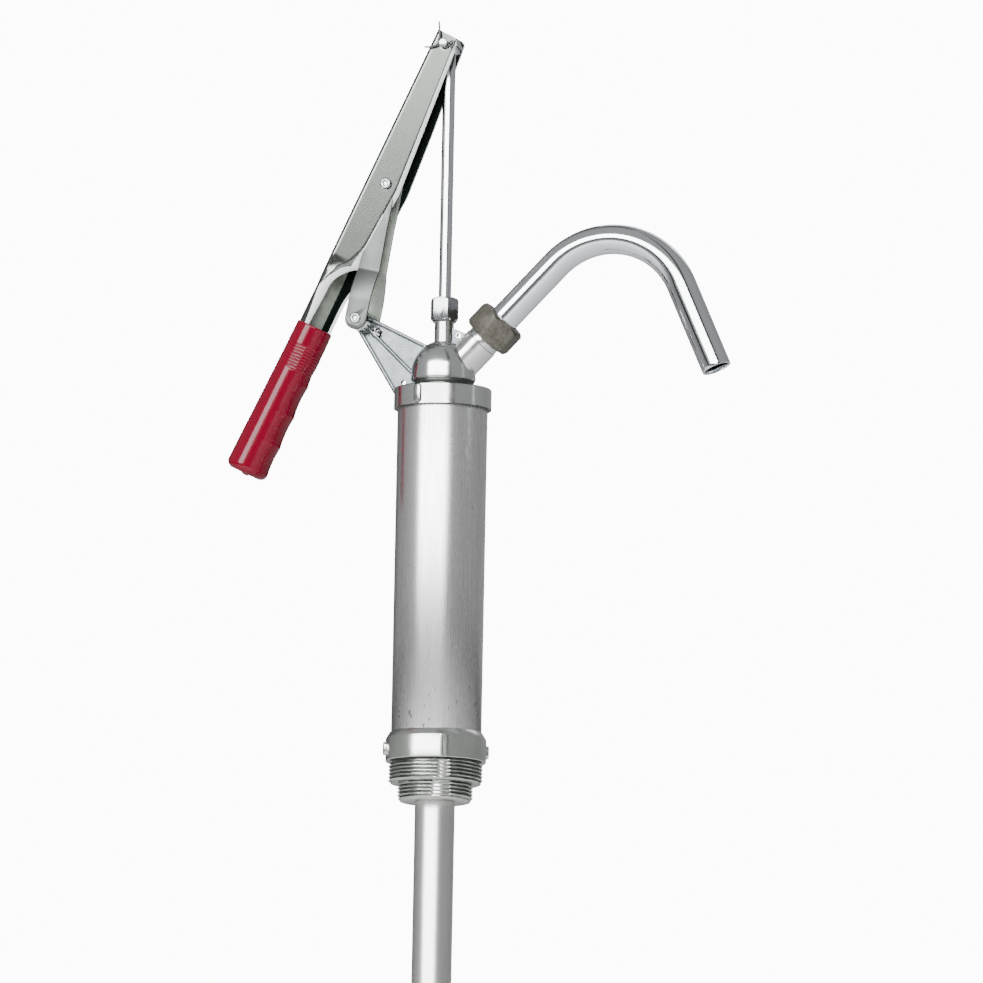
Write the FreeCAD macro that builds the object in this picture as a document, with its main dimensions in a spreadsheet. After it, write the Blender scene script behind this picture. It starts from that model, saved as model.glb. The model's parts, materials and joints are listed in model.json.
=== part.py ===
"""Lever-action drum pump, as a parametric FreeCAD document.

Millimetres and degrees. +Z runs up along the pump's axis, Z = 0 is the underside of the bung
adapter's collar (the top of its drum thread), and +X points towards the spout. The lever, the
link and the bracket lie in the XZ plane. Every driving size is a cell of the sheet "Sizes", and
every feature takes its size from there.
"""
import FreeCAD, Part
import math
import os
import re
import Sketcher

SIZES = {
    # Bung adapter: a large and a small pipe thread below a round collar.
    "drum_thread_radius": 29.8, "drum_thread_length": 13.7,
    "small_thread_radius": 23.9, "small_thread_length": 11.8,
    "collar_radius": 31.9, "collar_height": 18.9, "collar_chamfer": 2.8, "thread_chamfer": 2.4,
    "adapter_floor": -16.0, "adapter_chamber_radius": 21.0, "tube_seat": 5.5,
    "lug_width": 4.5, "lug_height": 8.5, "lug_proud": 2.0, "lug_angle": 28.0,
    # Cylinder tube and its two flat gaskets.
    "cylinder_radius": 28.65, "cylinder_bore": 26.75, "cylinder_top": 235.5,
    "gasket_thickness": 1.5, "socket_clearance": 0.1,
    # Foot valve on the adapter's shoulder.
    "valve_seat_bottom": 1.5, "valve_seat_radius": 24.5, "valve_seat_thickness": 2.5,
    "foot_port_radius": 9.0, "foot_disc_radius": 12.5, "foot_disc_thickness": 2.0,
    "cage_radius": 17.0, "cage_wall": 1.2, "cage_height": 8.5,
    # Suction tubes: the lower one telescopes out of the upper one.
    "suction_radius": 12.7, "suction_bore": 11.3, "suction_top": -14.5, "suction_bottom": -465.0,
    "lower_radius": 10.6, "lower_bore": 9.4, "lower_top": -40.0, "lower_bottom": -476.0,
    "sleeve_height": 16.0, "sleeve_radius": 14.2, "foot_height": 12.0, "foot_radius": 12.7,
    "seal_ring_height": 3.0, "seal_ring_radius": 15.5,
    # Pump head: skirt, neck band, dome, gland neck.
    "skirt_radius": 31.0, "skirt_bottom": 225.4, "skirt_top": 238.5, "band_radius": 21.7,
    "band_top": 245.9, "dome_radius": 20.3, "dome_centre": 249.6, "dome_wall": 3.0,
    "neck_radius": 6.2, "neck_top": 287.0, "rod_clearance": 0.05, "head_lug_angle": -13.0,
    "head_lug_height": 11.5, "head_lug_proud": 0.6,
    # Gland on top of the neck.
    "gland_bottom": 281.5, "gland_top": 297.3, "gland_corner": 9.3, "gland_bore": 6.25,
    "packing_height": 6.0,
    # Bracket cast on the lever side of the head.
    "bracket_x": -55.06, "bracket_z": 284.0, "boss_radius": 5.0, "boss_half": 11.6,
    "web_thickness": 3.0, "rib_width": 9.0, "rib_thickness": 2.6,
    "top_rib_x": -11.0, "top_rib_z": 267.1, "mid_rib_x": -17.0, "mid_rib_z": 246.4,
    "low_rib_x": -29.5, "low_rib_z": 234.5, "pivot_radius": 2.5, "pivot_clearance": 0.05,
    # Outlet stub, its union nut and the spout, along an axis raised by stub_angle.
    "stub_z": 242.7, "stub_angle": 45.0, "stub_radius": 11.35, "stub_thread_radius": 10.8,
    "stub_face": 39.3, "stub_end": 47.0, "stub_bore": 7.9, "union_corner": 16.9,
    "union_length": 17.0, "union_turn": 35.0, "union_bore": 10.95, "spout_gasket_thickness": 1.5,
    "spout_collar_radius": 10.5, "spout_collar_thickness": 3.0, "spout_radius": 9.5,
    "spout_bore": 7.75, "spout_straight": 104.0, "spout_bend_radius": 51.5, "spout_bend": 111.0,
    "spout_drop": 59.5, "gusset_inner_x": 4.0, "gusset_top_z": 278.4, "gusset_outer_x": 22.0,
    "gusset_outer_z": 270.6,
    # Rod and piston.
    "rod_radius": 4.0, "eye_z": 459.7, "eye_radius": 6.5, "eye_half": 6.0,
    "piston_bottom": 176.0, "piston_radius": 25.6, "piston_thickness": 7.0, "piston_port": 12.0,
    "cup_radius": 26.55, "cup_thickness": 2.5, "cup_height": 9.0,
    "spider_thickness": 3.0, "valve_disc_radius": 19.0, "valve_disc_thickness": 2.0,
    "valve_lift": 3.0, "rod_nut_corner": 7.5, "rod_nut_height": 6.5, "rod_washer_radius": 8.0,
    "rod_washer_thickness": 1.6,
    # Lever: a channel round the rod's eye that turns into an open tube inside the grip.
    "lever_angle": 25.85, "lever_half": 10.3, "lever_wall": 1.8, "lever_top": 6.5,
    "web_offset": 9.1, "flange_top_x": 6.9, "flange_mid_x": 14.9, "flange_mid_z": -98.5,
    "flange_low_x": 11.9, "flange_low_z": -151.5, "neck_z": -163.0, "lever_tube_radius": 10.8,
    "lever_tube_wall": 1.8, "lever_tube_end": -298.0, "slot_near_x": -1.5, "slot_far_y": 2.0,
    "grip_top_z": -198.3, "grip_end_z": -301.5, "grip_top_radius": 11.9,
    "grip_end_radius": 13.9, "grip_floor": 3.0, "grip_round": 5.0, "grip_clearance": 0.05,
    # Clevis pin through the rod's eye, with its split pin.
    "clevis_radius": 2.9, "clevis_front": 14.6, "clevis_head_radius": 4.8,
    "clevis_head_height": 2.0, "split_y": 12.7, "split_radius": 0.6, "split_hole": 0.8,
    "split_leg": 10.0, "split_turn": -80.0,
    # Link between the lever's rivet and the bracket's boss.
    "link_pin_x": 4.8, "link_pin_z": -96.48, "link_half_width": 7.15, "link_thickness": 2.0,
    "link_foot_y": 12.0, "link_head_y": 6.0, "joggle_low": 12.5, "joggle_high": 33.0,
    "rivet_radius": 2.5, "rivet_head_radius": 3.6, "rivet_head_height": 1.1,
    "rivet_bore": 1.4, "spacer_radius": 4.4,
}

DOC = FreeCAD.newDocument("LeverDrumPump")
SHEET = DOC.addObject("Spreadsheet::Sheet", "Sizes")
AXIS_Y = FreeCAD.Vector(0, 1, 0)
LUG_COUNT = 4
WHOLE_TURN = 360
SUB_PARTS = []


# ---------------------------------------------------------------- helpers

def fill_sheet():
    """Write every driving size into the sheet as a plain number with an alias."""
    for row, (alias, size) in enumerate(SIZES.items(), start=1):
        SHEET.set(f"A{row}", alias)
        SHEET.set(f"B{row}", str(size))
        SHEET.setAlias(f"B{row}", alias)
    DOC.recompute()


def formula(text):
    """Turn size names in a formula into references to the sheet."""
    return re.sub(r"[a-z]\w+", lambda word: "Sizes." + word.group()
                  if word.group() in SIZES else word.group(), text)


def bind(obj, **formulas):
    """Bind properties to formulas; a double underscore in a name stands for a dot."""
    for name, text in formulas.items():
        obj.setExpression(name.replace("__", "."), formula(text))


def sub_part(obj, label):
    """Register an object as a sub-part with its node name."""
    obj.Label = label
    SUB_PARTS.append(obj)
    return obj


def place(obj, x="0", z="0", angle="0", y="0"):
    """Place an object in the XZ plane, turned about Y by angle."""
    obj.Placement = FreeCAD.Placement(FreeCAD.Vector(), FreeCAD.Rotation(AXIS_Y, 1))
    bind(obj, Placement__Base__x=x, Placement__Base__y=y, Placement__Base__z=z,
         Placement__Rotation__Angle=angle)
    return obj


def new_body(label):
    """Start a PartDesign body that is a sub-part."""
    return sub_part(DOC.addObject("PartDesign::Body", label + "_body"), label)


def new_sketch(body, role):
    """Attach an empty sketch to one of the body's own origin planes."""
    sketch = body.newObject("Sketcher::SketchObject", body.Name + "_sketch")
    plane = next(item for item in body.Origin.OriginFeatures if item.Role == role)
    sketch.AttachmentSupport = [(plane, "")]
    sketch.MapMode = "FlatFace"
    return sketch


def pin_point(sketch, line, guess, point):
    """Fix the start of a line at a point given by two formulas."""
    for kind, start, text in (("DistanceX", guess.x, point[0]), ("DistanceY", guess.y, point[1])):
        index = sketch.addConstraint(Sketcher.Constraint(kind, -1, 1, line, 1, start))
        sketch.setExpression(f"Constraints[{index}]", formula(text))


def outline(body, points, role="XZ_Plane"):
    """Sketch a closed outline of straight lines through points given by formulas."""
    sketch = new_sketch(body, role)
    count = len(points)
    ring = [FreeCAD.Vector(math.cos(WHOLE_TURN / count * math.pi / 180 * step) + 3,
                           math.sin(WHOLE_TURN / count * math.pi / 180 * step) + 2, 0) * 20
            for step in range(count)]
    for step in range(count):
        sketch.addGeometry(Part.LineSegment(ring[step], ring[(step + 1) % count]), False)
    for step in range(count):
        sketch.addConstraint(Sketcher.Constraint("Coincident", step, 2, (step + 1) % count, 1))
    for step, point in enumerate(points):
        pin_point(sketch, step, ring[step], point)
    return sketch


def circle(body, centre, radius, role="XZ_Plane"):
    """Sketch one circle with its centre and radius given by formulas."""
    sketch = new_sketch(body, role)
    sketch.addGeometry(Part.Circle(FreeCAD.Vector(1, 1, 0), FreeCAD.Vector(0, 0, 1), 2), False)
    for kind, text in (("DistanceX", centre[0]), ("DistanceY", centre[1])):
        index = sketch.addConstraint(Sketcher.Constraint(kind, -1, 1, 0, 3, 1))
        sketch.setExpression(f"Constraints[{index}]", formula(text))
    index = sketch.addConstraint(Sketcher.Constraint("Radius", 0, 2))
    sketch.setExpression(f"Constraints[{index}]", formula(radius))
    return sketch


def revolve(body, sketch, groove=False):
    """Turn an outline about the body's Z axis."""
    kind = "PartDesign::Groove" if groove else "PartDesign::Revolution"
    feature = body.newObject(kind, body.Name + "_turn")
    feature.Profile = sketch
    feature.ReferenceAxis = (sketch, ["V_Axis"])
    feature.Angle = WHOLE_TURN
    DOC.recompute()
    return feature


def extrude(body, sketch, length, cut=False):
    """Pad or pocket a sketch to both sides of its plane; length is the whole length."""
    feature = body.newObject("PartDesign::Pocket" if cut else "PartDesign::Pad",
                             body.Name + ("_cut" if cut else "_pad"))
    feature.Profile = sketch
    feature.SideType = "Symmetric"
    bind(feature, Length=length)
    DOC.recompute()
    return feature


def extrude_between(body, sketch, low, high, cut=False):
    """Pad or pocket an XY sketch from height low to height high."""
    sketch.setExpression("AttachmentOffset.Base.z", formula(f"({low} + {high}) / 2"))
    return extrude(body, sketch, f"{high} - ({low})", cut)


def turned(label, points):
    """Make a sub-part by turning a half section, (radius, height) points, about Z."""
    body = new_body(label)
    revolve(body, outline(body, points))
    return body


def ring(label, inner, outer, low, high):
    """Make a plain ring between two radii and two heights."""
    return turned(label, [(inner, low), (outer, low), (outer, high), (inner, high)])


def hexagon(corner, turn="0"):
    """Give the six corners of a hexagon as formulas."""
    return [(f"{corner} * cos({turn} + {60 * step})", f"{corner} * sin({turn} + {60 * step})")
            for step in range(6)]


def primitive(kind, name, **formulas):
    """Add a Part primitive with bound sizes."""
    obj = DOC.addObject(kind, name)
    bind(obj, **formulas)
    return obj


def cross_cylinder(name, radius, low, high, x="0", z="0"):
    """Add a cylinder along Y from low to high."""
    obj = primitive("Part::Cylinder", name, Radius=radius, Height=f"{high} - ({low})")
    obj.Placement = FreeCAD.Placement(FreeCAD.Vector(), FreeCAD.Rotation(FreeCAD.Vector(1, 0, 0), -90))
    bind(obj, Placement__Base__x=x, Placement__Base__y=low, Placement__Base__z=z)
    return obj


def fuse(name, *shapes):
    """Join several shapes."""
    obj = DOC.addObject("Part::MultiFuse", name)
    obj.Shapes = list(shapes)
    return obj


def cut(name, base, tool):
    """Cut one shape out of another."""
    obj = DOC.addObject("Part::Cut", name)
    obj.Base = base
    obj.Tool = tool
    return obj


def common(name, base, tool):
    """Keep what two shapes share."""
    obj = DOC.addObject("Part::Common", name)
    obj.Base = base
    obj.Tool = tool
    return obj


# ---------------------------------------------------------------- lower end

def build_bung_adapter():
    """Threaded adapter: two stepped threads, a collar with four spanner lugs, a tube socket."""
    low = "-drum_thread_length - small_thread_length"
    socket = "cylinder_radius + socket_clearance"
    body = turned("bung_adapter", [
        ("suction_radius + socket_clearance", low),
        ("small_thread_radius - thread_chamfer", low),
        ("small_thread_radius", f"{low} + thread_chamfer"),
        ("small_thread_radius", "-drum_thread_length"),
        ("drum_thread_radius", "-drum_thread_length"),
        ("drum_thread_radius", "0"),
        ("collar_radius", "0"),
        ("collar_radius", "collar_height - collar_chamfer * 1.5"),
        ("collar_radius - collar_chamfer", "collar_height"),
        (socket, "collar_height"),
        (socket, "tube_seat - gasket_thickness"),
        ("valve_seat_radius + socket_clearance", "tube_seat - gasket_thickness"),
        ("valve_seat_radius + socket_clearance", "valve_seat_bottom"),
        ("adapter_chamber_radius", "valve_seat_bottom"),
        ("adapter_chamber_radius", "adapter_floor + seal_ring_height"),
        ("seal_ring_radius", "adapter_floor + seal_ring_height"),
        ("seal_ring_radius", "adapter_floor"),
        ("suction_radius + socket_clearance", "adapter_floor")])
    for step in range(LUG_COUNT):
        add_lug(body, f"lug_angle + {90 * step}", "collar_radius", "lug_proud",
                "collar_height / 2 - 1 - lug_height / 2", "lug_height")


def add_lug(body, angle, radius, proud, low, height):
    """Add an upright lug to a round rim, at an angle counted from -Y towards +X."""
    across, out = (f"sin({angle})", f"-cos({angle})"), "lug_width / 2"
    corners = []
    for reach, side in ((f"{radius} - 1", "-1"), (f"{radius} + {proud}", "-1"),
                        (f"{radius} + {proud}", "1"), (f"{radius} - 1", "1")):
        corners.append((f"({reach}) * {across[0]} + {side} * {out} * cos({angle})",
                        f"({reach}) * ({across[1]}) + {side} * {out} * sin({angle})"))
    extrude_between(body, outline(body, corners, "XY_Plane"), low, f"{low} + {height}")


def build_cylinder():
    """Cylinder tube between its two gaskets."""
    ring("cylinder_tube", "cylinder_bore", "cylinder_radius", "tube_seat", "cylinder_top")
    ring("base_gasket", "valve_seat_radius + 0.2", "cylinder_radius",
         "tube_seat - gasket_thickness", "tube_seat")
    ring("head_gasket", "dome_radius + 2", "cylinder_radius",
         "cylinder_top", "cylinder_top + gasket_thickness")


def build_foot_valve():
    """Foot valve: ported seat plate, loose disc, and the cage that limits its lift."""
    top = "valve_seat_bottom + valve_seat_thickness"
    ring("foot_valve_seat", "foot_port_radius", "valve_seat_radius", "valve_seat_bottom", top)
    ring("foot_valve_disc", "1.5", "foot_disc_radius", top, f"{top} + foot_disc_thickness")
    cage = turned("foot_valve_cage", [
        ("cage_radius - cage_wall", top), ("cage_radius", top),
        ("cage_radius", f"{top} + cage_height"), ("3", f"{top} + cage_height"),
        ("3", f"{top} + cage_height - cage_wall"),
        ("cage_radius - cage_wall", f"{top} + cage_height - cage_wall")])
    window = outline(cage, [("-cage_radius - 2", "-4"), ("cage_radius + 2", "-4"),
                            ("cage_radius + 2", "4"), ("-cage_radius - 2", "4")], "XY_Plane")
    extrude_between(cage, window, f"{top} + 2", f"{top} + cage_height - cage_wall - 1", cut=True)


def build_suction_tubes():
    """Fixed upper suction tube with its seal and sleeve, and the telescoping lower tube."""
    ring("suction_tube", "suction_bore", "suction_radius", "suction_bottom", "suction_top")
    ring("tube_seal_ring", "suction_radius", "seal_ring_radius",
         "adapter_floor", "adapter_floor + seal_ring_height")
    turned("telescope_sleeve", [
        ("lower_radius + pivot_clearance", "suction_bottom - 2"),
        ("sleeve_radius", "suction_bottom - 2"),
        ("sleeve_radius", "suction_bottom + sleeve_height - 1.5"),
        ("sleeve_radius - 1", "suction_bottom + sleeve_height"),
        ("suction_radius", "suction_bottom + sleeve_height"),
        ("suction_radius", "suction_bottom"),
        ("suction_bore - 0.1", "suction_bottom"),
        ("suction_bore - 0.1", "suction_bottom + sleeve_height"),
        ("lower_radius + pivot_clearance", "suction_bottom + sleeve_height")])
    ring("lower_suction_tube", "lower_bore", "lower_radius", "lower_bottom", "lower_top")
    foot = turned("suction_foot", [
        ("lower_bore - 0.1", "lower_bottom + foot_height - 4"),
        ("lower_bore - 1.6", "lower_bottom + foot_height - 4"),
        ("lower_bore - 1.6", "lower_bottom - foot_height / 2"),
        ("foot_radius - 1.5", "lower_bottom - foot_height / 2"),
        ("foot_radius", "lower_bottom"),
        ("lower_bore - 0.1", "lower_bottom")])
    notch = outline(foot, [("-foot_radius - 1", "-3"), ("foot_radius + 1", "-3"),
                           ("foot_radius + 1", "3"), ("-foot_radius - 1", "3")], "XY_Plane")
    extrude_between(foot, notch, "lower_bottom - foot_height / 2 - 1",
                    "lower_bottom - foot_height / 4", cut=True)


# ---------------------------------------------------------------- head

def unit_to(start, end):
    """Give the unit vector from start to end, in the XZ plane."""
    run, rise = end[0] - start[0], end[1] - start[1]
    length = math.hypot(run, rise)
    return run / length, rise / length


def add_rib(body, foot_x, foot_z):
    """Add one straight rib of the bracket, from its boss to a foot on the head."""
    boss = (SIZES["bracket_x"], SIZES["bracket_z"])
    run, rise = unit_to(boss, (SIZES[foot_x], SIZES[foot_z]))
    side_x, side_z = f"rib_thickness / 2 * {-rise}", f"rib_thickness / 2 * {run}"
    rib = outline(body, [(f"bracket_x + {side_x}", f"bracket_z + {side_z}"),
                         (f"{foot_x} + {side_x}", f"{foot_z} + {side_z}"),
                         (f"{foot_x} - {side_x}", f"{foot_z} - {side_z}"),
                         (f"bracket_x - {side_x}", f"bracket_z - {side_z}")])
    extrude(body, rib, "rib_width")


def build_head_casting():
    """Die-cast head: skirt, dome, gland neck, ribbed bracket with its boss, outlet stub."""
    socket = "cylinder_radius + socket_clearance"
    body = turned("head_casting", [
        (socket, "skirt_bottom"), ("skirt_radius", "skirt_bottom"),
        ("skirt_radius", "skirt_top"), ("band_radius", "skirt_top"),
        ("dome_radius", "band_top"), ("dome_radius", "dome_centre"),
        ("dome_radius * cos(30)", "dome_centre + dome_radius * sin(30)"),
        ("dome_radius * cos(55)", "dome_centre + dome_radius * sin(55)"),
        ("neck_radius", "dome_centre + dome_radius * sin(73)"),
        ("neck_radius", "neck_top"), ("rod_radius + rod_clearance", "neck_top"),
        ("rod_radius + rod_clearance", "dome_centre + dome_radius - dome_wall"),
        ("(dome_radius - dome_wall) * cos(50)", "dome_centre + (dome_radius - dome_wall) * sin(50)"),
        ("dome_radius - dome_wall", "dome_centre"),
        ("dome_radius - dome_wall", "cylinder_top + gasket_thickness"),
        (socket, "cylinder_top + gasket_thickness")])
    web = outline(body, [("bracket_x", "bracket_z"), ("top_rib_x", "top_rib_z"),
                         ("mid_rib_x", "mid_rib_z"), ("-band_radius + 1", "skirt_top - 0.5"),
                         ("low_rib_x", "low_rib_z")])
    extrude(body, web, "web_thickness")
    for name in ("top_rib", "mid_rib", "low_rib"):
        add_rib(body, name + "_x", name + "_z")
    extrude(body, circle(body, ("bracket_x", "bracket_z"), "boss_radius"), "boss_half * 2")
    gusset = outline(body, [("gusset_inner_x", "dome_centre"), ("gusset_outer_x", "dome_centre + 8"),
                            ("gusset_outer_x", "gusset_outer_z"),
                            ("gusset_inner_x", "gusset_top_z")])
    extrude(body, gusset, "web_thickness")
    for turn in ("0", "180"):
        add_lug(body, f"head_lug_angle + {turn}", "skirt_radius", "head_lug_proud",
                "(skirt_bottom + skirt_top - head_lug_height) / 2", "head_lug_height")
    extrude(body, circle(body, ("bracket_x", "bracket_z"), "pivot_radius + 0.1"),
            "boss_half * 2 + 2", cut=True)
    body.Label = "head_core"
    SUB_PARTS.remove(body)

    stub = place(primitive("Part::Cylinder", "stub_body", Radius="stub_radius", Height="stub_face"),
                 z="stub_z", angle="stub_angle")
    thread = place(primitive("Part::Cylinder", "stub_thread", Radius="stub_thread_radius",
                             Height="stub_end"), z="stub_z", angle="stub_angle")
    bore = place(primitive("Part::Cylinder", "stub_passage", Radius="stub_bore",
                           Height="stub_end + 2"), z="stub_z", angle="stub_angle")
    chamber = primitive("Part::Cylinder", "head_chamber", Radius="dome_radius - dome_wall",
                        Height="dome_centre - cylinder_top - gasket_thickness")
    bind(chamber, Placement__Base__z="cylinder_top + gasket_thickness")
    tube_space = primitive("Part::Cylinder", "tube_space", Radius=socket,
                           Height="cylinder_top + gasket_thickness - skirt_bottom + 6")
    bind(tube_space, Placement__Base__z="skirt_bottom - 6")
    rod_bore = primitive("Part::Cylinder", "rod_bore", Radius="rod_radius + rod_clearance",
                         Height="neck_top - skirt_bottom + 1")
    bind(rod_bore, Placement__Base__z="skirt_bottom")
    solid = fuse("head_solid", body, stub, thread)
    hollow = fuse("head_hollow", bore, chamber, tube_space, rod_bore)
    sub_part(cut("head_casting_cut", solid, hollow), "head_casting")


def build_gland():
    """Gland nut and the packing that it squeezes round the rod."""
    bore = "rod_radius + rod_clearance"
    ring("gland_packing", bore, "neck_radius - 0.1", "neck_top", "neck_top + packing_height")
    nut = new_body("gland_nut")
    extrude_between(nut, outline(nut, hexagon("gland_corner"), "XY_Plane"),
                    "gland_bottom", "gland_top")
    extrude_between(nut, circle(nut, ("0", "0"), "gland_bore", "XY_Plane"),
                    "gland_bottom - 1", "neck_top + packing_height", cut=True)
    extrude_between(nut, circle(nut, ("0", "0"), bore, "XY_Plane"),
                    "gland_bottom", "gland_top + 1", cut=True)


def build_bracket_pin():
    """Pivot pin that stays in the bracket's boss."""
    pin = cross_cylinder("pivot_pin", "pivot_radius", "-boss_half", "boss_half",
                         "bracket_x", "bracket_z")
    sub_part(pin, "bracket_pivot_pin")


# ---------------------------------------------------------------- spout

def build_union():
    """Union nut on the outlet stub, with the flat gasket under the spout's collar."""
    nut = new_body("union_nut")
    top = "stub_face + union_length"
    ledge = "stub_end + spout_gasket_thickness + spout_collar_thickness"
    extrude_between(nut, outline(nut, hexagon("union_corner", "union_turn"), "XY_Plane"),
                    "stub_face", top)
    extrude_between(nut, circle(nut, ("0", "0"), "union_bore", "XY_Plane"),
                    "stub_face - 1", ledge, cut=True)
    extrude_between(nut, circle(nut, ("0", "0"), "spout_radius + pivot_clearance", "XY_Plane"),
                    "stub_face", f"{top} + 1", cut=True)
    gasket = ring("spout_gasket", "stub_bore", "stub_thread_radius",
                  "stub_end", "stub_end + spout_gasket_thickness")
    for item in (nut, gasket):
        place(item, z="stub_z", angle="stub_angle")


def spout_solid(name, radius, margin):
    """Make one solid bent round bar: a straight, a bend and the drop to the mouth."""
    foot = f"stub_end + spout_gasket_thickness - {margin}"
    rise = primitive("Part::Cylinder", name + "_rise", Radius=radius,
                     Height=f"spout_straight - ({foot})")
    bind(rise, Placement__Base__z=foot)
    bend = primitive("Part::Torus", name + "_bend", Radius1="spout_bend_radius", Radius2=radius,
                     Angle3="spout_bend")
    bend.Placement = FreeCAD.Placement(FreeCAD.Vector(), FreeCAD.Rotation(
        FreeCAD.Vector(-1, 0, 0), FreeCAD.Vector(0, 0, 1), AXIS_Y, "ZXY"))
    bind(bend, Placement__Base__x="spout_bend_radius", Placement__Base__z="spout_straight")
    drop = primitive("Part::Cylinder", name + "_drop", Radius=radius,
                     Height=f"spout_drop + {margin}")
    place(drop, x="spout_bend_radius * (1 - cos(spout_bend))",
          z="spout_straight + spout_bend_radius * sin(spout_bend)", angle="spout_bend")
    return fuse(name, rise, bend, drop)


def build_spout():
    """Bent spout tube and the collar brazed to its foot."""
    tube = cut("spout_tube_cut", spout_solid("spout_outer", "spout_radius", "0"),
               spout_solid("spout_inner", "spout_bore", "1"))
    collar = ring("spout_collar", "spout_radius", "spout_collar_radius",
                  "stub_end + spout_gasket_thickness",
                  "stub_end + spout_gasket_thickness + spout_collar_thickness")
    sub_part(tube, "spout_tube")
    for item in (tube, collar):
        place(item, z="stub_z", angle="stub_angle")


# ---------------------------------------------------------------- rod and piston

def build_rod():
    """Piston rod with a cross eye at its top."""
    rod = primitive("Part::Cylinder", "rod_bar", Radius="rod_radius",
                    Height="eye_z - piston_bottom + rod_nut_height + 2")
    bind(rod, Placement__Base__z="piston_bottom - rod_nut_height - 2")
    eye = cross_cylinder("rod_eye", "eye_radius", "-eye_half", "eye_half", z="eye_z")
    hole = cross_cylinder("rod_eye_hole", "clevis_radius + pivot_clearance",
                          "-eye_half - 1", "eye_half + 1", z="eye_z")
    sub_part(cut("rod_cut", fuse("rod_solid", rod, eye), hole), "piston_rod")


def build_piston():
    """Piston: ported plate, cup seal, spider, loose valve disc, washer and nut."""
    bore = "rod_radius + 0.02"
    top = "piston_bottom + piston_thickness"
    plate = turned("piston_plate", [
        (bore, "piston_bottom"), ("piston_radius", "piston_bottom"),
        ("piston_radius", "piston_bottom + 2.5"), ("piston_radius - 2.5", "piston_bottom + 2.5"),
        ("piston_radius - 2.5", top), (bore, top)])
    for step in range(LUG_COUNT):
        port = circle(plate, (f"piston_port * cos({90 * step})", f"piston_port * sin({90 * step})"),
                      "3.5", "XY_Plane")
        extrude_between(plate, port, "piston_bottom - 1", f"{top} + 1", cut=True)
    turned("piston_cup", [
        ("piston_radius - 2.4", "piston_bottom + 2.5"), ("cup_radius", "piston_bottom + 2.5"),
        ("cup_radius + 0.1", "piston_bottom + 2.5 + cup_height"),
        ("cup_radius + 0.1 - cup_thickness * 0.6", "piston_bottom + 2.5 + cup_height"),
        ("piston_radius - 1.8", top), ("piston_radius - 2.4", top)])
    ring("piston_valve_disc", "rod_radius + 0.4", "valve_disc_radius",
         top, f"{top} + valve_disc_thickness")
    hub = f"{top} + valve_disc_thickness + valve_lift + 0.5"
    ring("piston_stop", bore, "rod_washer_radius", hub, f"{hub} + spider_thickness")
    ring("piston_washer", bore, "rod_washer_radius",
         "piston_bottom - rod_washer_thickness", "piston_bottom")
    nut = new_body("piston_nut")
    base = "piston_bottom - rod_washer_thickness"
    extrude_between(nut, outline(nut, hexagon("rod_nut_corner"), "XY_Plane"),
                    f"{base} - rod_nut_height", base)
    extrude_between(nut, circle(nut, ("0", "0"), bore, "XY_Plane"),
                    f"{base} - rod_nut_height - 1", f"{base} + 1", cut=True)


# ---------------------------------------------------------------- lever

def build_lever_channel():
    """Pressed lever: a channel round the rod's eye that turns into a stem of C section.

    The stem's gap runs from the front of its section round to the pump's side.
    """
    body = new_body("lever_channel")
    side = outline(body, [
        ("-web_offset", "lever_top"), ("flange_top_x", "lever_top"),
        ("flange_mid_x", "flange_mid_z"), ("flange_low_x", "flange_low_z"),
        ("lever_tube_radius - 2", "neck_z"), ("-web_offset", "neck_z")])
    extrude(body, side, "lever_half * 2")
    inside = outline(body, [
        ("-web_offset + lever_wall", "lever_top + 1"), ("30", "lever_top + 1"), ("30", "neck_z - 1"),
        ("-web_offset + lever_wall", "neck_z - 1")])
    extrude(body, inside, "(lever_half - lever_wall) * 2", cut=True)
    body.Label = "lever_pressing"
    SUB_PARTS.remove(body)

    tube = cylinder_between("lever_tube", "lever_tube_radius", "lever_tube_end", "neck_z + 6")
    bore = cylinder_between("lever_bore", "lever_tube_radius - lever_tube_wall",
                            "lever_tube_end - 1", "neck_z + 7")
    slot = primitive("Part::Box", "lever_slot", Length="lever_tube_radius * 2",
                     Width="lever_tube_radius + 1 + slot_far_y",
                     Height="neck_z + 8 - lever_tube_end")
    bind(slot, Placement__Base__x="slot_near_x", Placement__Base__y="-lever_tube_radius - 1",
         Placement__Base__z="lever_tube_end - 1")
    holes = fuse("lever_holes",
                 cross_cylinder("lever_eye_hole", "clevis_radius + 0.02", "-lever_half - 1",
                                "lever_half + 1"),
                 cross_cylinder("lever_link_hole", "rivet_radius + 0.02", "-lever_half - 1",
                                "lever_half + 1", "link_pin_x", "link_pin_z"))
    tube_shell = cut("lever_tube_shell", tube, fuse("lever_tube_hollow", bore, slot))
    lever = cut("lever_cut", fuse("lever_solid", body, tube_shell), holes)
    place(sub_part(lever, "lever_channel"), z="eye_z", angle="lever_angle")


def cylinder_between(name, radius, low, high):
    """Add a cylinder along Z from low to high."""
    obj = primitive("Part::Cylinder", name, Radius=radius, Height=f"{high} - ({low})")
    bind(obj, Placement__Base__z=low)
    return obj


def build_grip():
    """Handle grip: a tapering sleeve with a closed, rounded end."""
    inner = "lever_tube_radius + grip_clearance"
    grip = turned("handle_grip", [
        (inner, "grip_top_z"), ("grip_top_radius", "grip_top_z"),
        ("grip_end_radius", "grip_end_z + grip_round"),
        ("grip_end_radius - grip_round * 0.3", "grip_end_z + grip_round * 0.3"),
        ("grip_end_radius - grip_round", "grip_end_z"), ("0", "grip_end_z"),
        ("0", "grip_end_z + grip_floor"), (inner, "grip_end_z + grip_floor")])
    place(grip, z="eye_z", angle="lever_angle")


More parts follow.
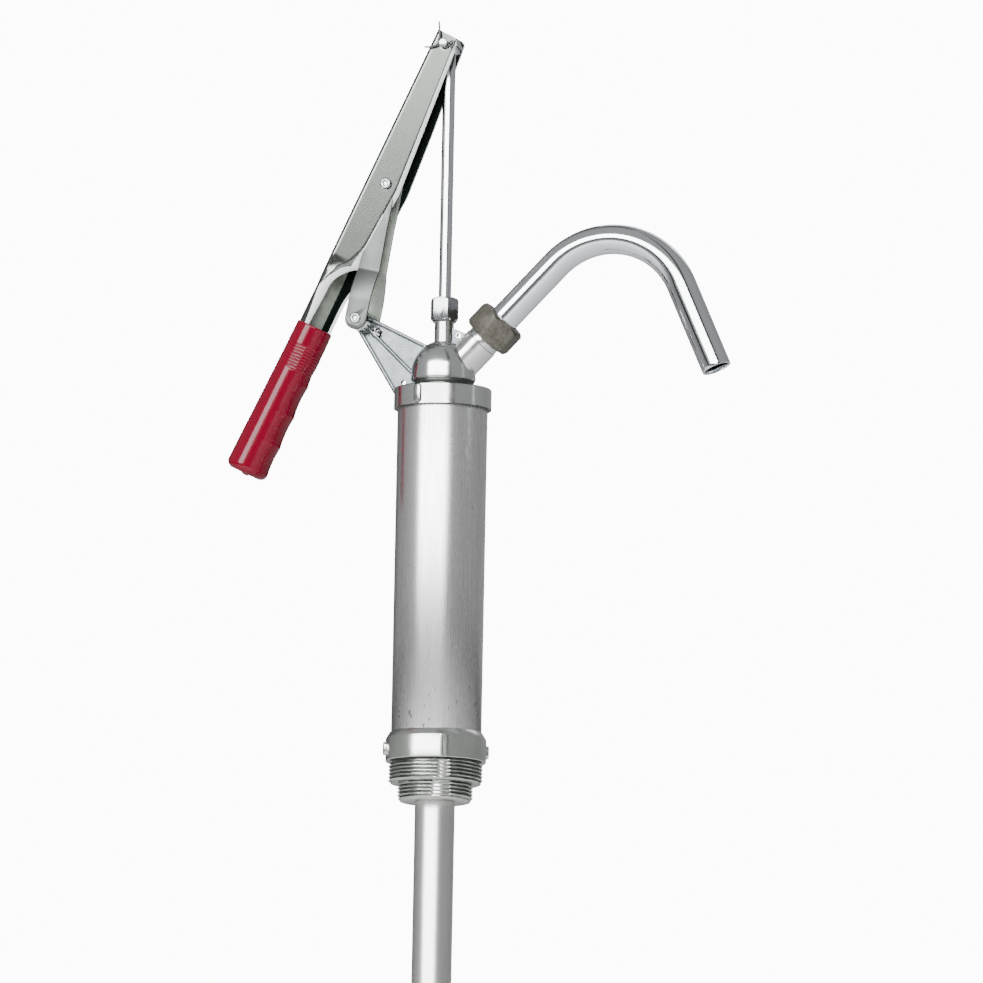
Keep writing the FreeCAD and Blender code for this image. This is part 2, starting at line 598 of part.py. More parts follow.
def build_clevis():
    """Clevis pin, the washers that centre the rod's eye, and the split pin."""
    pin = fuse("clevis_solid",
               cross_cylinder("clevis_shank", "clevis_radius", "-clevis_front", "lever_half"),
               cross_cylinder("clevis_head", "clevis_head_radius", "lever_half",
                              "lever_half + clevis_head_height"))
    hole = cylinder_between("clevis_hole", "split_hole", "-clevis_radius - 1", "clevis_radius + 1")
    bind(hole, Placement__Base__y="-split_y")
    place(sub_part(cut("clevis_cut", pin, hole), "clevis_pin"), z="eye_z", angle="split_turn")

    washers = []
    for name, low, high in (("front", "-(lever_half - lever_wall)", "-eye_half"),
                            ("back", "eye_half", "lever_half - lever_wall")):
        disc = cross_cylinder(f"eye_washer_{name}", "eye_radius - 0.5", low, high)
        hole = cross_cylinder(f"eye_washer_hole_{name}", "clevis_radius + pivot_clearance",
                              f"{low} - 1", f"{high} + 1")
        washers.append(cut(f"eye_washer_cut_{name}", disc, hole))
    place(group("eye_washers", washers), z="eye_z", angle="lever_angle")

    shank = cylinder_between("split_shank", "split_radius", "-clevis_radius - 2",
                             "clevis_radius + 1.5")
    legs = [tilted_leg("split_leg_up", "60"), tilted_leg("split_leg_down", "-15")]
    split = fuse("split_solid", shank, *legs)
    place(sub_part(split, "split_pin"), y="-split_y", z="eye_z", angle="split_turn")


def tilted_leg(name, angle):
    """Add one splayed leg of the split pin, starting clear of the clevis pin."""
    leg = primitive("Part::Cylinder", name, Radius="split_radius", Height="split_leg")
    return place(leg, z="clevis_radius + 1.5", angle=angle)


def group(label, shapes):
    """Hold several separate solids in one sub-part."""
    obj = DOC.addObject("Part::Compound", label + "_group")
    obj.Links = shapes
    return sub_part(obj, label)


def build_lever_rivet():
    """Tubular rivet that carries the link inside the lever."""
    solid = fuse("link_rivet_solid",
                 cross_cylinder("link_rivet_shank", "rivet_radius", "-lever_half", "lever_half"),
                 cross_cylinder("link_rivet_front", "rivet_head_radius",
                                "-lever_half - rivet_head_height", "-lever_half"),
                 cross_cylinder("link_rivet_back", "rivet_head_radius", "lever_half",
                                "lever_half + rivet_head_height"))
    bore = cross_cylinder("link_rivet_bore", "rivet_bore", "-lever_half - 3", "lever_half + 3")
    rivet = cut("link_rivet_cut", solid, bore)
    angle, eye = "lever_angle", "eye_z"
    place(sub_part(rivet, "lever_link_rivet"),
          x=f"link_pin_x * cos({angle}) + link_pin_z * sin({angle})",
          z=f"{eye} + link_pin_z * cos({angle}) - link_pin_x * sin({angle})", angle=angle)


# ---------------------------------------------------------------- link

def link_geometry():
    """Give the link's length and its lean from upright, from the three pivots."""
    angle = math.radians(SIZES["lever_angle"])
    pin_x, pin_z = SIZES["link_pin_x"], SIZES["link_pin_z"]
    x = pin_x * math.cos(angle) + pin_z * math.sin(angle) - SIZES["bracket_x"]
    z = SIZES["eye_z"] + pin_z * math.cos(angle) - pin_x * math.sin(angle) - SIZES["bracket_z"]
    return math.hypot(x, z), math.degrees(math.atan2(x, z))


def build_link_plate(label, side):
    """One joggled plate of the link; side is -1 for the front and 1 for the back."""
    length, lean = link_geometry()
    body = new_body(label)
    inner, outer = "link_foot_y", "link_foot_y + link_thickness"
    near, far = "link_head_y", "link_head_y + link_thickness"
    low, high = "-link_half_width", f"{length} + link_half_width"
    strip = [(inner, low), (outer, low), (outer, "joggle_low"), (far, "joggle_high"), (far, high),
             (near, high), (near, "joggle_high"), (inner, "joggle_low")]
    section = outline(body, [(f"{side} * ({y})", z) for y, z in strip], "YZ_Plane")
    extrude(body, section, "link_half_width * 2")
    body.Label = label + "_strip"
    SUB_PARTS.remove(body)

    ends = [cross_cylinder(f"{label}_end_{index}", "link_half_width", "-20", "20", z=height)
            for index, height in enumerate(("0", str(length)))]
    middle = primitive("Part::Box", label + "_middle", Length="link_half_width * 2", Width="40",
                       Height=str(length))
    bind(middle, Placement__Base__x="-link_half_width", Placement__Base__y="-20")
    rounded = common(label + "_round", body, fuse(label + "_outline", *ends, middle))
    holes = fuse(label + "_holes", *[
        cross_cylinder(f"{label}_hole_{index}", "rivet_radius + pivot_clearance", "-21", "21",
                       z=height) for index, height in enumerate(("0", str(length)))])
    plate = cut(label + "_cut", rounded, holes)
    place(sub_part(plate, label), x="bracket_x", z="bracket_z", angle=str(lean))


def build_link():
    """Link: two joggled plates, the spacer between them and the foot rivet's heads."""
    build_link_plate("link_plate_front", -1)
    build_link_plate("link_plate_back", 1)
    length, lean = link_geometry()
    spacer = cut("spacer_cut",
                 cross_cylinder("spacer_bar", "spacer_radius", "-link_head_y", "link_head_y"),
                 cross_cylinder("spacer_bore", "rivet_radius + pivot_clearance",
                                "-link_head_y - 1", "link_head_y + 1"))
    angle = math.radians(lean)
    place(sub_part(spacer, "link_spacer"), x=f"bracket_x + {length * math.sin(angle)}",
          z=f"bracket_z + {length * math.cos(angle)}", angle=str(lean))
    heads = []
    for name, side in (("front", -1), ("back", 1)):
        foot, face = "link_foot_y", "link_foot_y + link_thickness"
        tip = f"{face} + rivet_head_height"
        spans = [(foot, face), (face, tip)]
        if side < 0:
            spans = [(f"-({high})", f"-({low})") for low, high in spans]
        shank = cross_cylinder(f"foot_rivet_shank_{name}", "rivet_radius", *spans[0])
        head = cross_cylinder(f"foot_rivet_head_{name}", "rivet_head_radius", *spans[1])
        heads.append(fuse(f"foot_rivet_{name}", shank, head))
    place(group("link_foot_rivet", heads), x="bracket_x", z="bracket_z", angle=str(lean))


# ---------------------------------------------------------------- checks and export

def check_objects():
    """Stop if any object of the document failed or any sub-part is not a valid shape."""
    for obj in DOC.Objects:
        if "Invalid" in obj.State or "Error" in obj.State:
            raise RuntimeError(f"{obj.Label}: {obj.State}")
    for obj in SUB_PARTS:
        if obj.Shape.isNull() or not obj.Shape.isValid() or not obj.Shape.Solids:
            raise RuntimeError(f"{obj.Label}: no valid solid")


def export_parts():
    """Write each sub-part to its own STEP file and report its volume."""
    os.makedirs("parts", exist_ok=True)
    for obj in SUB_PARTS:
        obj.Shape.exportStep(f"parts/{obj.Label}.step")
        print(f"{obj.Label:22s} {len(obj.Shape.Solids)} solid(s) {obj.Shape.Volume / 1000:9.3f} cm3")


def main():
    """Build the whole pump, check it and write its parts."""
    fill_sheet()
    build_bung_adapter()
    build_cylinder()
    build_foot_valve()
    build_suction_tubes()
    build_head_casting()
    build_gland()
    build_bracket_pin()
    build_union()
    build_spout()
    build_rod()
    build_piston()
    build_lever_channel()
    build_grip()
    build_clevis()
    build_lever_rivet()
    build_link()
    DOC.recompute()
    check_objects()
    export_parts()


main()
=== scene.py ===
"""Looks of a lever-action drum pump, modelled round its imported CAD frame.

Everything is in metres in the frame of the CAD model: +Z runs up the pump's axis, Z = 0 is the
underside of the bung adapter's collar, +X points towards the spout, and the lever, the link and
the bracket lie in the XZ plane. Each finished piece sits at the origin with its place in its mesh.
"""

import logging
import math
from collections.abc import Callable, Sequence
from dataclasses import dataclass, field
from enum import Enum

import bpy
from mathutils import Matrix, Vector
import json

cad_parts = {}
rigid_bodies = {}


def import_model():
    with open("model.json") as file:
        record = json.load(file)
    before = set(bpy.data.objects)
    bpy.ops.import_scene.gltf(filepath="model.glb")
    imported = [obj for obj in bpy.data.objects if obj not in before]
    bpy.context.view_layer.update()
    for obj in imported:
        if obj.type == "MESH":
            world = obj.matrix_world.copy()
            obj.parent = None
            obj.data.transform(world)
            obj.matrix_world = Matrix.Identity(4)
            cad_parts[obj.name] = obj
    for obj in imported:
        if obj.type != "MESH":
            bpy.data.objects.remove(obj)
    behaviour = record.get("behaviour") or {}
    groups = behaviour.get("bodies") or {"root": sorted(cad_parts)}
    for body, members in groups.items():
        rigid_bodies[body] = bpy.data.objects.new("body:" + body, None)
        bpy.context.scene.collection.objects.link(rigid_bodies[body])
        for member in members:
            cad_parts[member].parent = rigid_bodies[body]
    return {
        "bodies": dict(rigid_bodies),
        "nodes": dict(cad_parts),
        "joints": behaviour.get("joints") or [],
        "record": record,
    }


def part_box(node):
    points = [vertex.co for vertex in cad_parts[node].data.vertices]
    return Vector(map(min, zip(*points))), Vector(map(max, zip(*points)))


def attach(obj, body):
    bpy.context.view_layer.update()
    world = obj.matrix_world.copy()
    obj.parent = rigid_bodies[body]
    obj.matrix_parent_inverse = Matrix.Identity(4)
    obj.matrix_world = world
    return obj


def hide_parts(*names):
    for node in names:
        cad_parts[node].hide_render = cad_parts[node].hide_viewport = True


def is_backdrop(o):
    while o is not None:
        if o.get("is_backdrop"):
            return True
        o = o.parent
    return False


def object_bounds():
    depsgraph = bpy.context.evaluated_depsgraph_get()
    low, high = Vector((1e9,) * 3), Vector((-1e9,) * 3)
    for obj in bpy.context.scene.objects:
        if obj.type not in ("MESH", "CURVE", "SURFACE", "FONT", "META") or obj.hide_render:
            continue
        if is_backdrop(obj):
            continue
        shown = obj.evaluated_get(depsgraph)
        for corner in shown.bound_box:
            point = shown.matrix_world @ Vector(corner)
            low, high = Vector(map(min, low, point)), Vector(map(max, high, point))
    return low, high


LOG = logging.getLogger("drum_pump")
MM = 0.001
TURN = 2 * math.pi

Object = bpy.types.Object
Point = tuple[float, float]


# ------------------------------------------------------------------ modelling tools

class Cut(Enum):
    """What a boolean leaves."""

    JOIN = "UNION"
    TAKE_AWAY = "DIFFERENCE"
    KEEP_SHARED = "INTERSECT"


def smooth_step(low: float, high: float, value: float) -> float:
    """Rise smoothly from 0 at low to 1 at high.

    Args:
        low: Where the rise starts.
        high: Where the rise ends.
        value: The place asked for.

    Returns:
        A number from 0 to 1.
    """
    share = min(max((value - low) / (high - low), 0.0), 1.0)
    return share * share * (3 - 2 * share)


def mix(first: float, second: float, share: float) -> float:
    """Return the value that lies share of the way from first to second.

    Args:
        first: Value at share 0.
        second: Value at share 1.
        share: How far along, from 0 to 1.

    Returns:
        The value between them.
    """
    return first + (second - first) * share


def clear_selection() -> None:
    """Deselect every object, because an operator acts on all that is selected."""
    for item in list(bpy.context.selected_objects):
        item.select_set(False)
    bpy.context.view_layer.objects.active = None


def pick(piece: Object) -> None:
    """Select one object alone and make it active.

    Args:
        piece: The object to select.
    """
    clear_selection()
    piece.select_set(True)
    bpy.context.view_layer.objects.active = piece


def apply_modifier(piece: Object, kind: str, **settings: object) -> None:
    """Add a modifier, set it up and apply it.

    Args:
        piece: The object to change.
        kind: Blender's name of the modifier type.
        **settings: The modifier's properties.
    """
    pick(piece)
    modifier = piece.modifiers.new(kind.title(), kind)
    for name, setting in settings.items():
        setattr(modifier, name, setting)
    bpy.ops.object.modifier_apply(modifier=modifier.name)


def clean(piece: Object, reach: float = 1e-6) -> Object:
    """Merge doubled points and point all faces outwards.

    Args:
        piece: The object to clean.
        reach: How near two points are merged.

    Returns:
        The same object.
    """
    pick(piece)
    bpy.ops.object.mode_set(mode="EDIT")
    bpy.ops.mesh.select_all(action="SELECT")
    bpy.ops.mesh.remove_doubles(threshold=reach)
    bpy.ops.mesh.normals_make_consistent(inside=False)
    bpy.ops.object.mode_set(mode="OBJECT")
    return piece


def combine(piece: Object, tool: Object, cut: Cut) -> Object:
    """Apply a boolean to piece and delete the tool.

    Args:
        piece: The object that stays.
        tool: The object that is joined, taken away or intersected.
        cut: What is left.

    Returns:
        The changed piece.
    """
    apply_modifier(piece, "BOOLEAN", object=tool, operation=cut.value, solver="EXACT")
    bpy.data.objects.remove(tool, do_unlink=True)
    return piece


def settle(piece: Object, place: Matrix) -> Object:
    """Turn and move a mesh itself, so that its object stays at the origin.

    Args:
        piece: The object whose mesh moves.
        place: Where the mesh goes.

    Returns:
        The same object.
    """
    piece.data.transform(place)
    piece.data.update()
    return piece


def shade(piece: Object, angle: float = 32.0) -> Object:
    """Shade smoothly, with edges sharper than angle degrees kept crisp.

    Args:
        piece: The object to shade.
        angle: Sharpest smooth edge, in degrees.

    Returns:
        The same object.
    """
    pick(piece)
    bpy.ops.object.shade_smooth_by_angle(angle=math.radians(angle))
    return piece


def round_edges(piece: Object, width: float, steps: int = 2, angle: float = 30.0) -> Object:
    """Round every edge sharper than angle degrees and shade the piece.

    Args:
        piece: The object to finish.
        width: Width of the rounding in metres.
        steps: Faces across the rounding.
        angle: The least angle that is rounded, in degrees.

    Returns:
        The same object.
    """
    apply_modifier(piece, "BEVEL", width=width, segments=steps, limit_method="ANGLE",
                   angle_limit=math.radians(angle), use_clamp_overlap=True,
                   harden_normals=False)
    return shade(piece)


def draw_chain(name: str, points: Sequence[Sequence[float]], closed: bool = True) -> Object:
    """Draw a chain of edges by extruding one point from place to place.

    Args:
        name: Name of the new object.
        points: The corners of the chain, in metres.
        closed: Whether the last point is joined to the first.

    Returns:
        The new object, in object mode.
    """
    clear_selection()
    bpy.ops.mesh.primitive_plane_add(size=MM)
    piece = bpy.context.object
    piece.name = piece.data.name = name
    bpy.ops.object.mode_set(mode="EDIT")
    bpy.ops.mesh.select_all(action="SELECT")
    bpy.ops.mesh.merge(type="CENTER")
    here = Vector(points[0])
    bpy.ops.transform.translate(value=here)
    for point in points[1:]:
        step = Vector(point) - here
        bpy.ops.mesh.extrude_region_move(TRANSFORM_OT_translate={"value": step})
        here = Vector(point)
    bpy.ops.mesh.select_all(action="DESELECT")
    bpy.ops.object.mode_set(mode="OBJECT")
    if closed:
        piece.data.vertices[0].select = True
        piece.data.vertices[len(piece.data.vertices) - 1].select = True
        bpy.ops.object.mode_set(mode="EDIT")
        bpy.ops.mesh.edge_face_add()
        bpy.ops.object.mode_set(mode="OBJECT")
    return piece


def lathe(name: str, section: Sequence[Point], steps: int = 96) -> Object:
    """Spin a closed half section about the Z axis.

    Args:
        name: Name of the new object.
        section: (radius, height) corners of the half section, in metres.
        steps: Faces round the axis.

    Returns:
        A closed solid of revolution.
    """
    piece = draw_chain(name, [(radius, 0.0, height) for radius, height in section])
    bpy.ops.object.mode_set(mode="EDIT")
    bpy.ops.mesh.select_all(action="SELECT")
    bpy.ops.mesh.spin(steps=steps, angle=TURN, center=(0, 0, 0), axis=(0, 0, 1))
    bpy.ops.object.mode_set(mode="OBJECT")
    return clean(piece)


def slab(name: str, corners: Sequence[Point], half: float) -> Object:
    """Extrude an outline in the XZ plane to both sides of it.

    Args:
        name: Name of the new object.
        corners: (x, z) corners, in metres.
        half: Half the thickness along Y.

    Returns:
        A closed plate.
    """
    piece = draw_chain(name, [(x, -half, z) for x, z in corners])
    bpy.ops.object.mode_set(mode="EDIT")
    bpy.ops.mesh.select_all(action="SELECT")
    bpy.ops.mesh.edge_face_add()
    bpy.ops.mesh.extrude_region_move(TRANSFORM_OT_translate={"value": (0, 2 * half, 0)})
    bpy.ops.object.mode_set(mode="OBJECT")
    return clean(piece)


def form_sheet(name: str, columns: int, rows: int,
               place: Callable[[float, float], Sequence[float]]) -> Object:
    """Form a flat grid over a shape, as sheet is pressed over a die.

    Args:
        name: Name of the new object.
        columns: Faces across the sheet.
        rows: Faces along the sheet.
        place: Gives the point for (across, along), each from 0 to 1.

    Returns:
        The formed sheet; edges that meet are merged.
    """
    clear_selection()
    bpy.ops.mesh.primitive_grid_add(x_subdivisions=columns, y_subdivisions=rows, size=1)
    piece = bpy.context.object
    piece.name = piece.data.name = name
    for vertex in piece.data.vertices:
        vertex.co = place(vertex.co.x + 0.5, vertex.co.y + 0.5)
    for _ in range(4):
        piece.data.materials.append(None)
    return clean(piece, 2e-6)


def cross_bar(name: str, radius: float, low: float, high: float, centre: Point = (0, 0),
              steps: int = 48) -> Object:
    """Make a round bar along Y from low to high, through an (x, z) centre.

    Args:
        name: Name of the bar.
        radius: Its radius.
        low: Its lower Y end.
        high: Its upper Y end.
        centre: The (x, z) point that it runs through.
        steps: Facets round it.

    Returns:
        The bar.
    """
    bar = lathe(name, [(0, low), (radius, low), (radius, high), (0, high)], steps)
    turn = Matrix.Translation((centre[0], 0, centre[1])) @ Matrix.Rotation(-math.pi / 2, 4, "X")
    return settle(bar, turn)


def bent_wire(name: str, points: Sequence[Sequence[float]], radius: float) -> Object:
    """Bend a round wire along a smooth line through guiding points.

    Args:
        name: Name of the new object.
        points: Guiding points in metres.
        radius: Radius of the wire.

    Returns:
        A closed mesh.
    """
    clear_selection()
    line = bpy.data.curves.new(name, "CURVE")
    line.dimensions = "3D"
    line.bevel_depth = radius
    line.bevel_resolution = 3
    line.use_fill_caps = True
    spline = line.splines.new("NURBS")
    spline.points.add(len(points) - 1)
    for target, point in zip(spline.points, points):
        target.co = (*point, 1)
    spline.order_u = 3
    spline.use_endpoint_u = True
    wire = bpy.data.objects.new(name, line)
    bpy.context.collection.objects.link(wire)
    pick(wire)
    bpy.ops.object.convert(target="MESH")
    return shade(clean(bpy.context.object), 60)


def hex_nut(name: str, corner: float, low: float, high: float, bore: float,
            turn: float, chamfer: float = 0.35) -> Object:
    """Make a hexagon nut with both ends chamfered and a through bore.

    Args:
        name: Name of the new object.
        corner: Radius to the hexagon's corners.
        low: Height of its lower face.
        high: Height of its upper face.
        bore: Radius of the hole.
        turn: Turn of the hexagon about Z, in radians.
        chamfer: Slope of the chamfer cones.

    Returns:
        The nut, its edges rounded.
    """
    clear_selection()
    bpy.ops.mesh.primitive_cylinder_add(vertices=6, radius=corner, depth=high - low,
                                        location=(0, 0, (low + high) / 2))
    nut = bpy.context.object
    nut.name = nut.data.name = name
    bpy.ops.object.transform_apply(location=True, rotation=False, scale=False)
    settle(nut, Matrix.Rotation(turn - math.pi / 6 * 3, 4, "Z"))
    face, reach = corner * 0.87, corner * 1.05
    drop = (reach - face) * chamfer * 2
    barrel = lathe("chamfer_barrel", [(0, low), (face, low), (reach, low + drop),
                                      (reach, high - drop), (face, high), (0, high)])
    settle(barrel, Matrix.Rotation(turn + math.radians(1.3), 4, "Z"))
    combine(nut, barrel, Cut.KEEP_SHARED)
    hole = lathe("nut_bore", [(0, low - MM), (bore, low - MM), (bore, high + MM), (0, high + MM)])
    combine(nut, hole, Cut.TAKE_AWAY)
    return round_edges(nut, 0.25 * MM, 2, 25)


def straight_tube(name: str, outer: float, inner: float, low: float, high: float,
                  edge: float = 0.3 * MM, steps: int = 128) -> Object:
    """Turn a plain tube with softened rims.

    Args:
        name: Name of the tube.
        outer: Outer radius.
        inner: Inner radius.
        low: Height of its foot.
        high: Height of its top.
        edge: Width of the softened rims.
        steps: Facets round it.

    Returns:
        The tube.
    """
    tube = lathe(name, [(inner, low), (outer, low), (outer, high), (inner, high)], steps)
    return round_edges(tube, edge, 2, 40)


def rivet(name: str, centre: Point, face: float, side: int, head: float, height: float,
          dimple: float) -> Object:
    """Turn one domed head of a tubular rivet, with its rolled rim and dimple.

    Args:
        name: Name of the new object.
        centre: (x, z) of the rivet's axis.
        face: Distance of the seat from the XZ plane.
        side: -1 for a head on the front, 1 for one on the back.
        head: Radius of the head.
        height: Height of the head.
        dimple: Radius of the hole in its middle.

    Returns:
        The closed head.
    """
    section = [(0, -0.6 * height), (head, 0), (head * 0.985, height * 0.45),
               (head * 0.86, height * 0.85), (head * 0.7, height), (dimple * 1.25, height * 0.9),
               (dimple, height * 0.6), (dimple * 0.9, 0), (dimple * 0.72, -height * 0.35),
               (0, -height * 0.45)]
    turned = lathe(name, section, 48)
    flip = Matrix.Rotation(math.pi / 2 if side < 0 else -math.pi / 2, 4, "X")
    settle(turned, Matrix.Translation((centre[0], side * face, centre[1])) @ flip)
    return shade(turned, 50)


def merge_pieces(name: str, parts: Sequence[Object]) -> Object:
    """Join several objects into one object with a new name.

    Args:
        name: Name of the result.
        parts: The objects to join; the first one is kept.

    Returns:
        The joined object.
    """
    clear_selection()
    for part in parts:
        part.select_set(True)
    bpy.context.view_layer.objects.active = parts[0]
    bpy.ops.object.join()
    joined = bpy.context.object
    joined.name = joined.data.name = name
    return joined


# ------------------------------------------------------------------ finishes

class Grain(Enum):
    """How a surface's fine texture runs."""

    EVEN = (1.0, 1.0, 1.0)
    LENGTHWISE = (1.0, 1.0, 0.02)


@dataclass(frozen=True)
class Finish:
    """A surface finish: colour, polish, and the grain that breaks both up."""

    name: str
    colour: tuple[float, float, float]
    tint: tuple[float, float, float]
    roughness: tuple[float, float]
    metallic: float = 1.0
    grain: Grain = Grain.EVEN
    grain_size: float = 0.6 * MM
    blotch_size: float = 12 * MM
    relief: float = 0.02 * MM
    shine: float = 0.5

    def build(self) -> bpy.types.Material:
        """Build the node material.

        Returns:
            The material.
        """
        material = bpy.data.materials.new(self.name)
        material.use_nodes = True
        nodes, links = material.node_tree.nodes, material.node_tree.links
        shader = nodes["Principled BSDF"]
        shader.inputs["Metallic"].default_value = self.metallic
        shader.inputs["Specular IOR Level"].default_value = self.shine
        place = nodes.new("ShaderNodeTexCoord")
        stretch = nodes.new("ShaderNodeMapping")
        stretch.inputs["Scale"].default_value = self.grain.value
        links.new(place.outputs["Object"], stretch.inputs["Vector"])
        fine = self._noise(nodes, links, stretch, 1 / self.grain_size, 4)
        broad = self._noise(nodes, links, stretch, 1 / self.blotch_size, 3)
        blend = nodes.new("ShaderNodeMath")
        blend.operation = "MULTIPLY_ADD"
        blend.inputs[1].default_value = 0.5
        links.new(fine.outputs["Fac"], blend.inputs[0])
        half = nodes.new("ShaderNodeMath")
        half.operation = "MULTIPLY"
        half.inputs[1].default_value = 0.5
        links.new(broad.outputs["Fac"], half.inputs[0])
        links.new(half.outputs[0], blend.inputs[2])
        paint = nodes.new("ShaderNodeMix")
        paint.data_type = "RGBA"
        paint.inputs["A"].default_value = (*self.colour, 1)
        paint.inputs["B"].default_value = (*self.tint, 1)
        links.new(self._range(nodes, links, blend, 0.35, 0.65, 0, 1).outputs[0],
                  paint.inputs["Factor"])
        links.new(paint.outputs["Result"], shader.inputs["Base Color"])
        polish = self._range(nodes, links, blend, 0.3, 0.7, *self.roughness)
        links.new(polish.outputs[0], shader.inputs["Roughness"])
        bump = nodes.new("ShaderNodeBump")
        bump.inputs["Strength"].default_value = 1.0
        bump.inputs["Distance"].default_value = self.relief
        links.new(fine.outputs["Fac"], bump.inputs["Height"])
        links.new(bump.outputs["Normal"], shader.inputs["Normal"])
        self.add_marks(material, shader, paint, place)
        return material

    def add_marks(self, material: bpy.types.Material, shader: bpy.types.Node,
                  paint: bpy.types.Node, place: bpy.types.Node) -> None:
        """Add what only one finish has; the plain finish has nothing more.

        Args:
            material: The material being built.
            shader: Its shader node.
            paint: The node that gives its colour.
            place: The node that gives Object coordinates.
        """

    @staticmethod
    def _noise(nodes: bpy.types.Nodes, links: bpy.types.NodeLinks, source: bpy.types.Node,
               scale: float, detail: float) -> bpy.types.Node:
        """Add a noise texture read through a mapping.

        Args:
            nodes: The node tree's nodes.
            links: The node tree's links.
            source: The mapping to read through.
            scale: Scale of the noise.
            detail: Its detail.

        Returns:
            The noise node.
        """
        noise = nodes.new("ShaderNodeTexNoise")
        noise.inputs["Scale"].default_value = scale
        noise.inputs["Detail"].default_value = detail
        links.new(source.outputs["Vector"], noise.inputs["Vector"])
        return noise

    @staticmethod
    def _range(nodes: bpy.types.Nodes, links: bpy.types.NodeLinks, source: bpy.types.Node,
               low: float, high: float, to_low: float, to_high: float) -> bpy.types.Node:
        """Map one range of values to another.

        Args:
            nodes: The node tree's nodes.
            links: The node tree's links.
            source: The node whose value is mapped.
            low: Lowest value read.
            high: Highest value read.
            to_low: What the lowest becomes.
            to_high: What the highest becomes.

        Returns:
            The mapping node.
        """
        change = nodes.new("ShaderNodeMapRange")
        change.inputs["From Min"].default_value = low
        change.inputs["From Max"].default_value = high
        change.inputs["To Min"].default_value = to_low
        change.inputs["To Max"].default_value = to_high
        links.new(source.outputs[0], change.inputs["Value"])
        return change


@dataclass(frozen=True)
class ScuffedFinish(Finish):
    """Drawn tube stock: lengthwise streaks, and small dark handling scuffs below scuff_top."""

    scuff_top: float = 0.09
    scuff_low: float = 0.02

    def add_marks(self, material: bpy.types.Material, shader: bpy.types.Node,
                  paint: bpy.types.Node, place: bpy.types.Node) -> None:
        """Darken scattered specks, most of them low on the tube.

        Args:
            material: The material being built.
            shader: Its shader node.
            paint: The node that gives its colour.
            place: The node that gives Object coordinates.
        """
        nodes, links = material.node_tree.nodes, material.node_tree.links
        stretch = nodes.new("ShaderNodeMapping")
        stretch.inputs["Scale"].default_value = (1, 1, 0.55)
        links.new(place.outputs["Object"], stretch.inputs["Vector"])
        specks = self._noise(nodes, links, stretch, 420, 5)
        height = nodes.new("ShaderNodeSeparateXYZ")
        links.new(place.outputs["Object"], height.inputs["Vector"])
        low = nodes.new("ShaderNodeMapRange")
        low.inputs["From Min"].default_value = self.scuff_low
        low.inputs["From Max"].default_value = self.scuff_top
        low.inputs["To Min"].default_value = 0.62
        low.inputs["To Max"].default_value = 0.70
        links.new(height.outputs["Z"], low.inputs["Value"])
        above = nodes.new("ShaderNodeMath")
        above.operation = "SUBTRACT"
        links.new(specks.outputs["Fac"], above.inputs[0])
        links.new(low.outputs[0], above.inputs[1])
        strength = self._range(nodes, links, above, 0, 0.06, 0, 0.75)
        dark = nodes.new("ShaderNodeMix")
        dark.data_type = "RGBA"
        dark.inputs["B"].default_value = (0.10, 0.10, 0.11, 1)
        links.new(strength.outputs[0], dark.inputs["Factor"])
        links.new(paint.outputs["Result"], dark.inputs["A"])
        links.new(dark.outputs["Result"], shader.inputs["Base Color"])


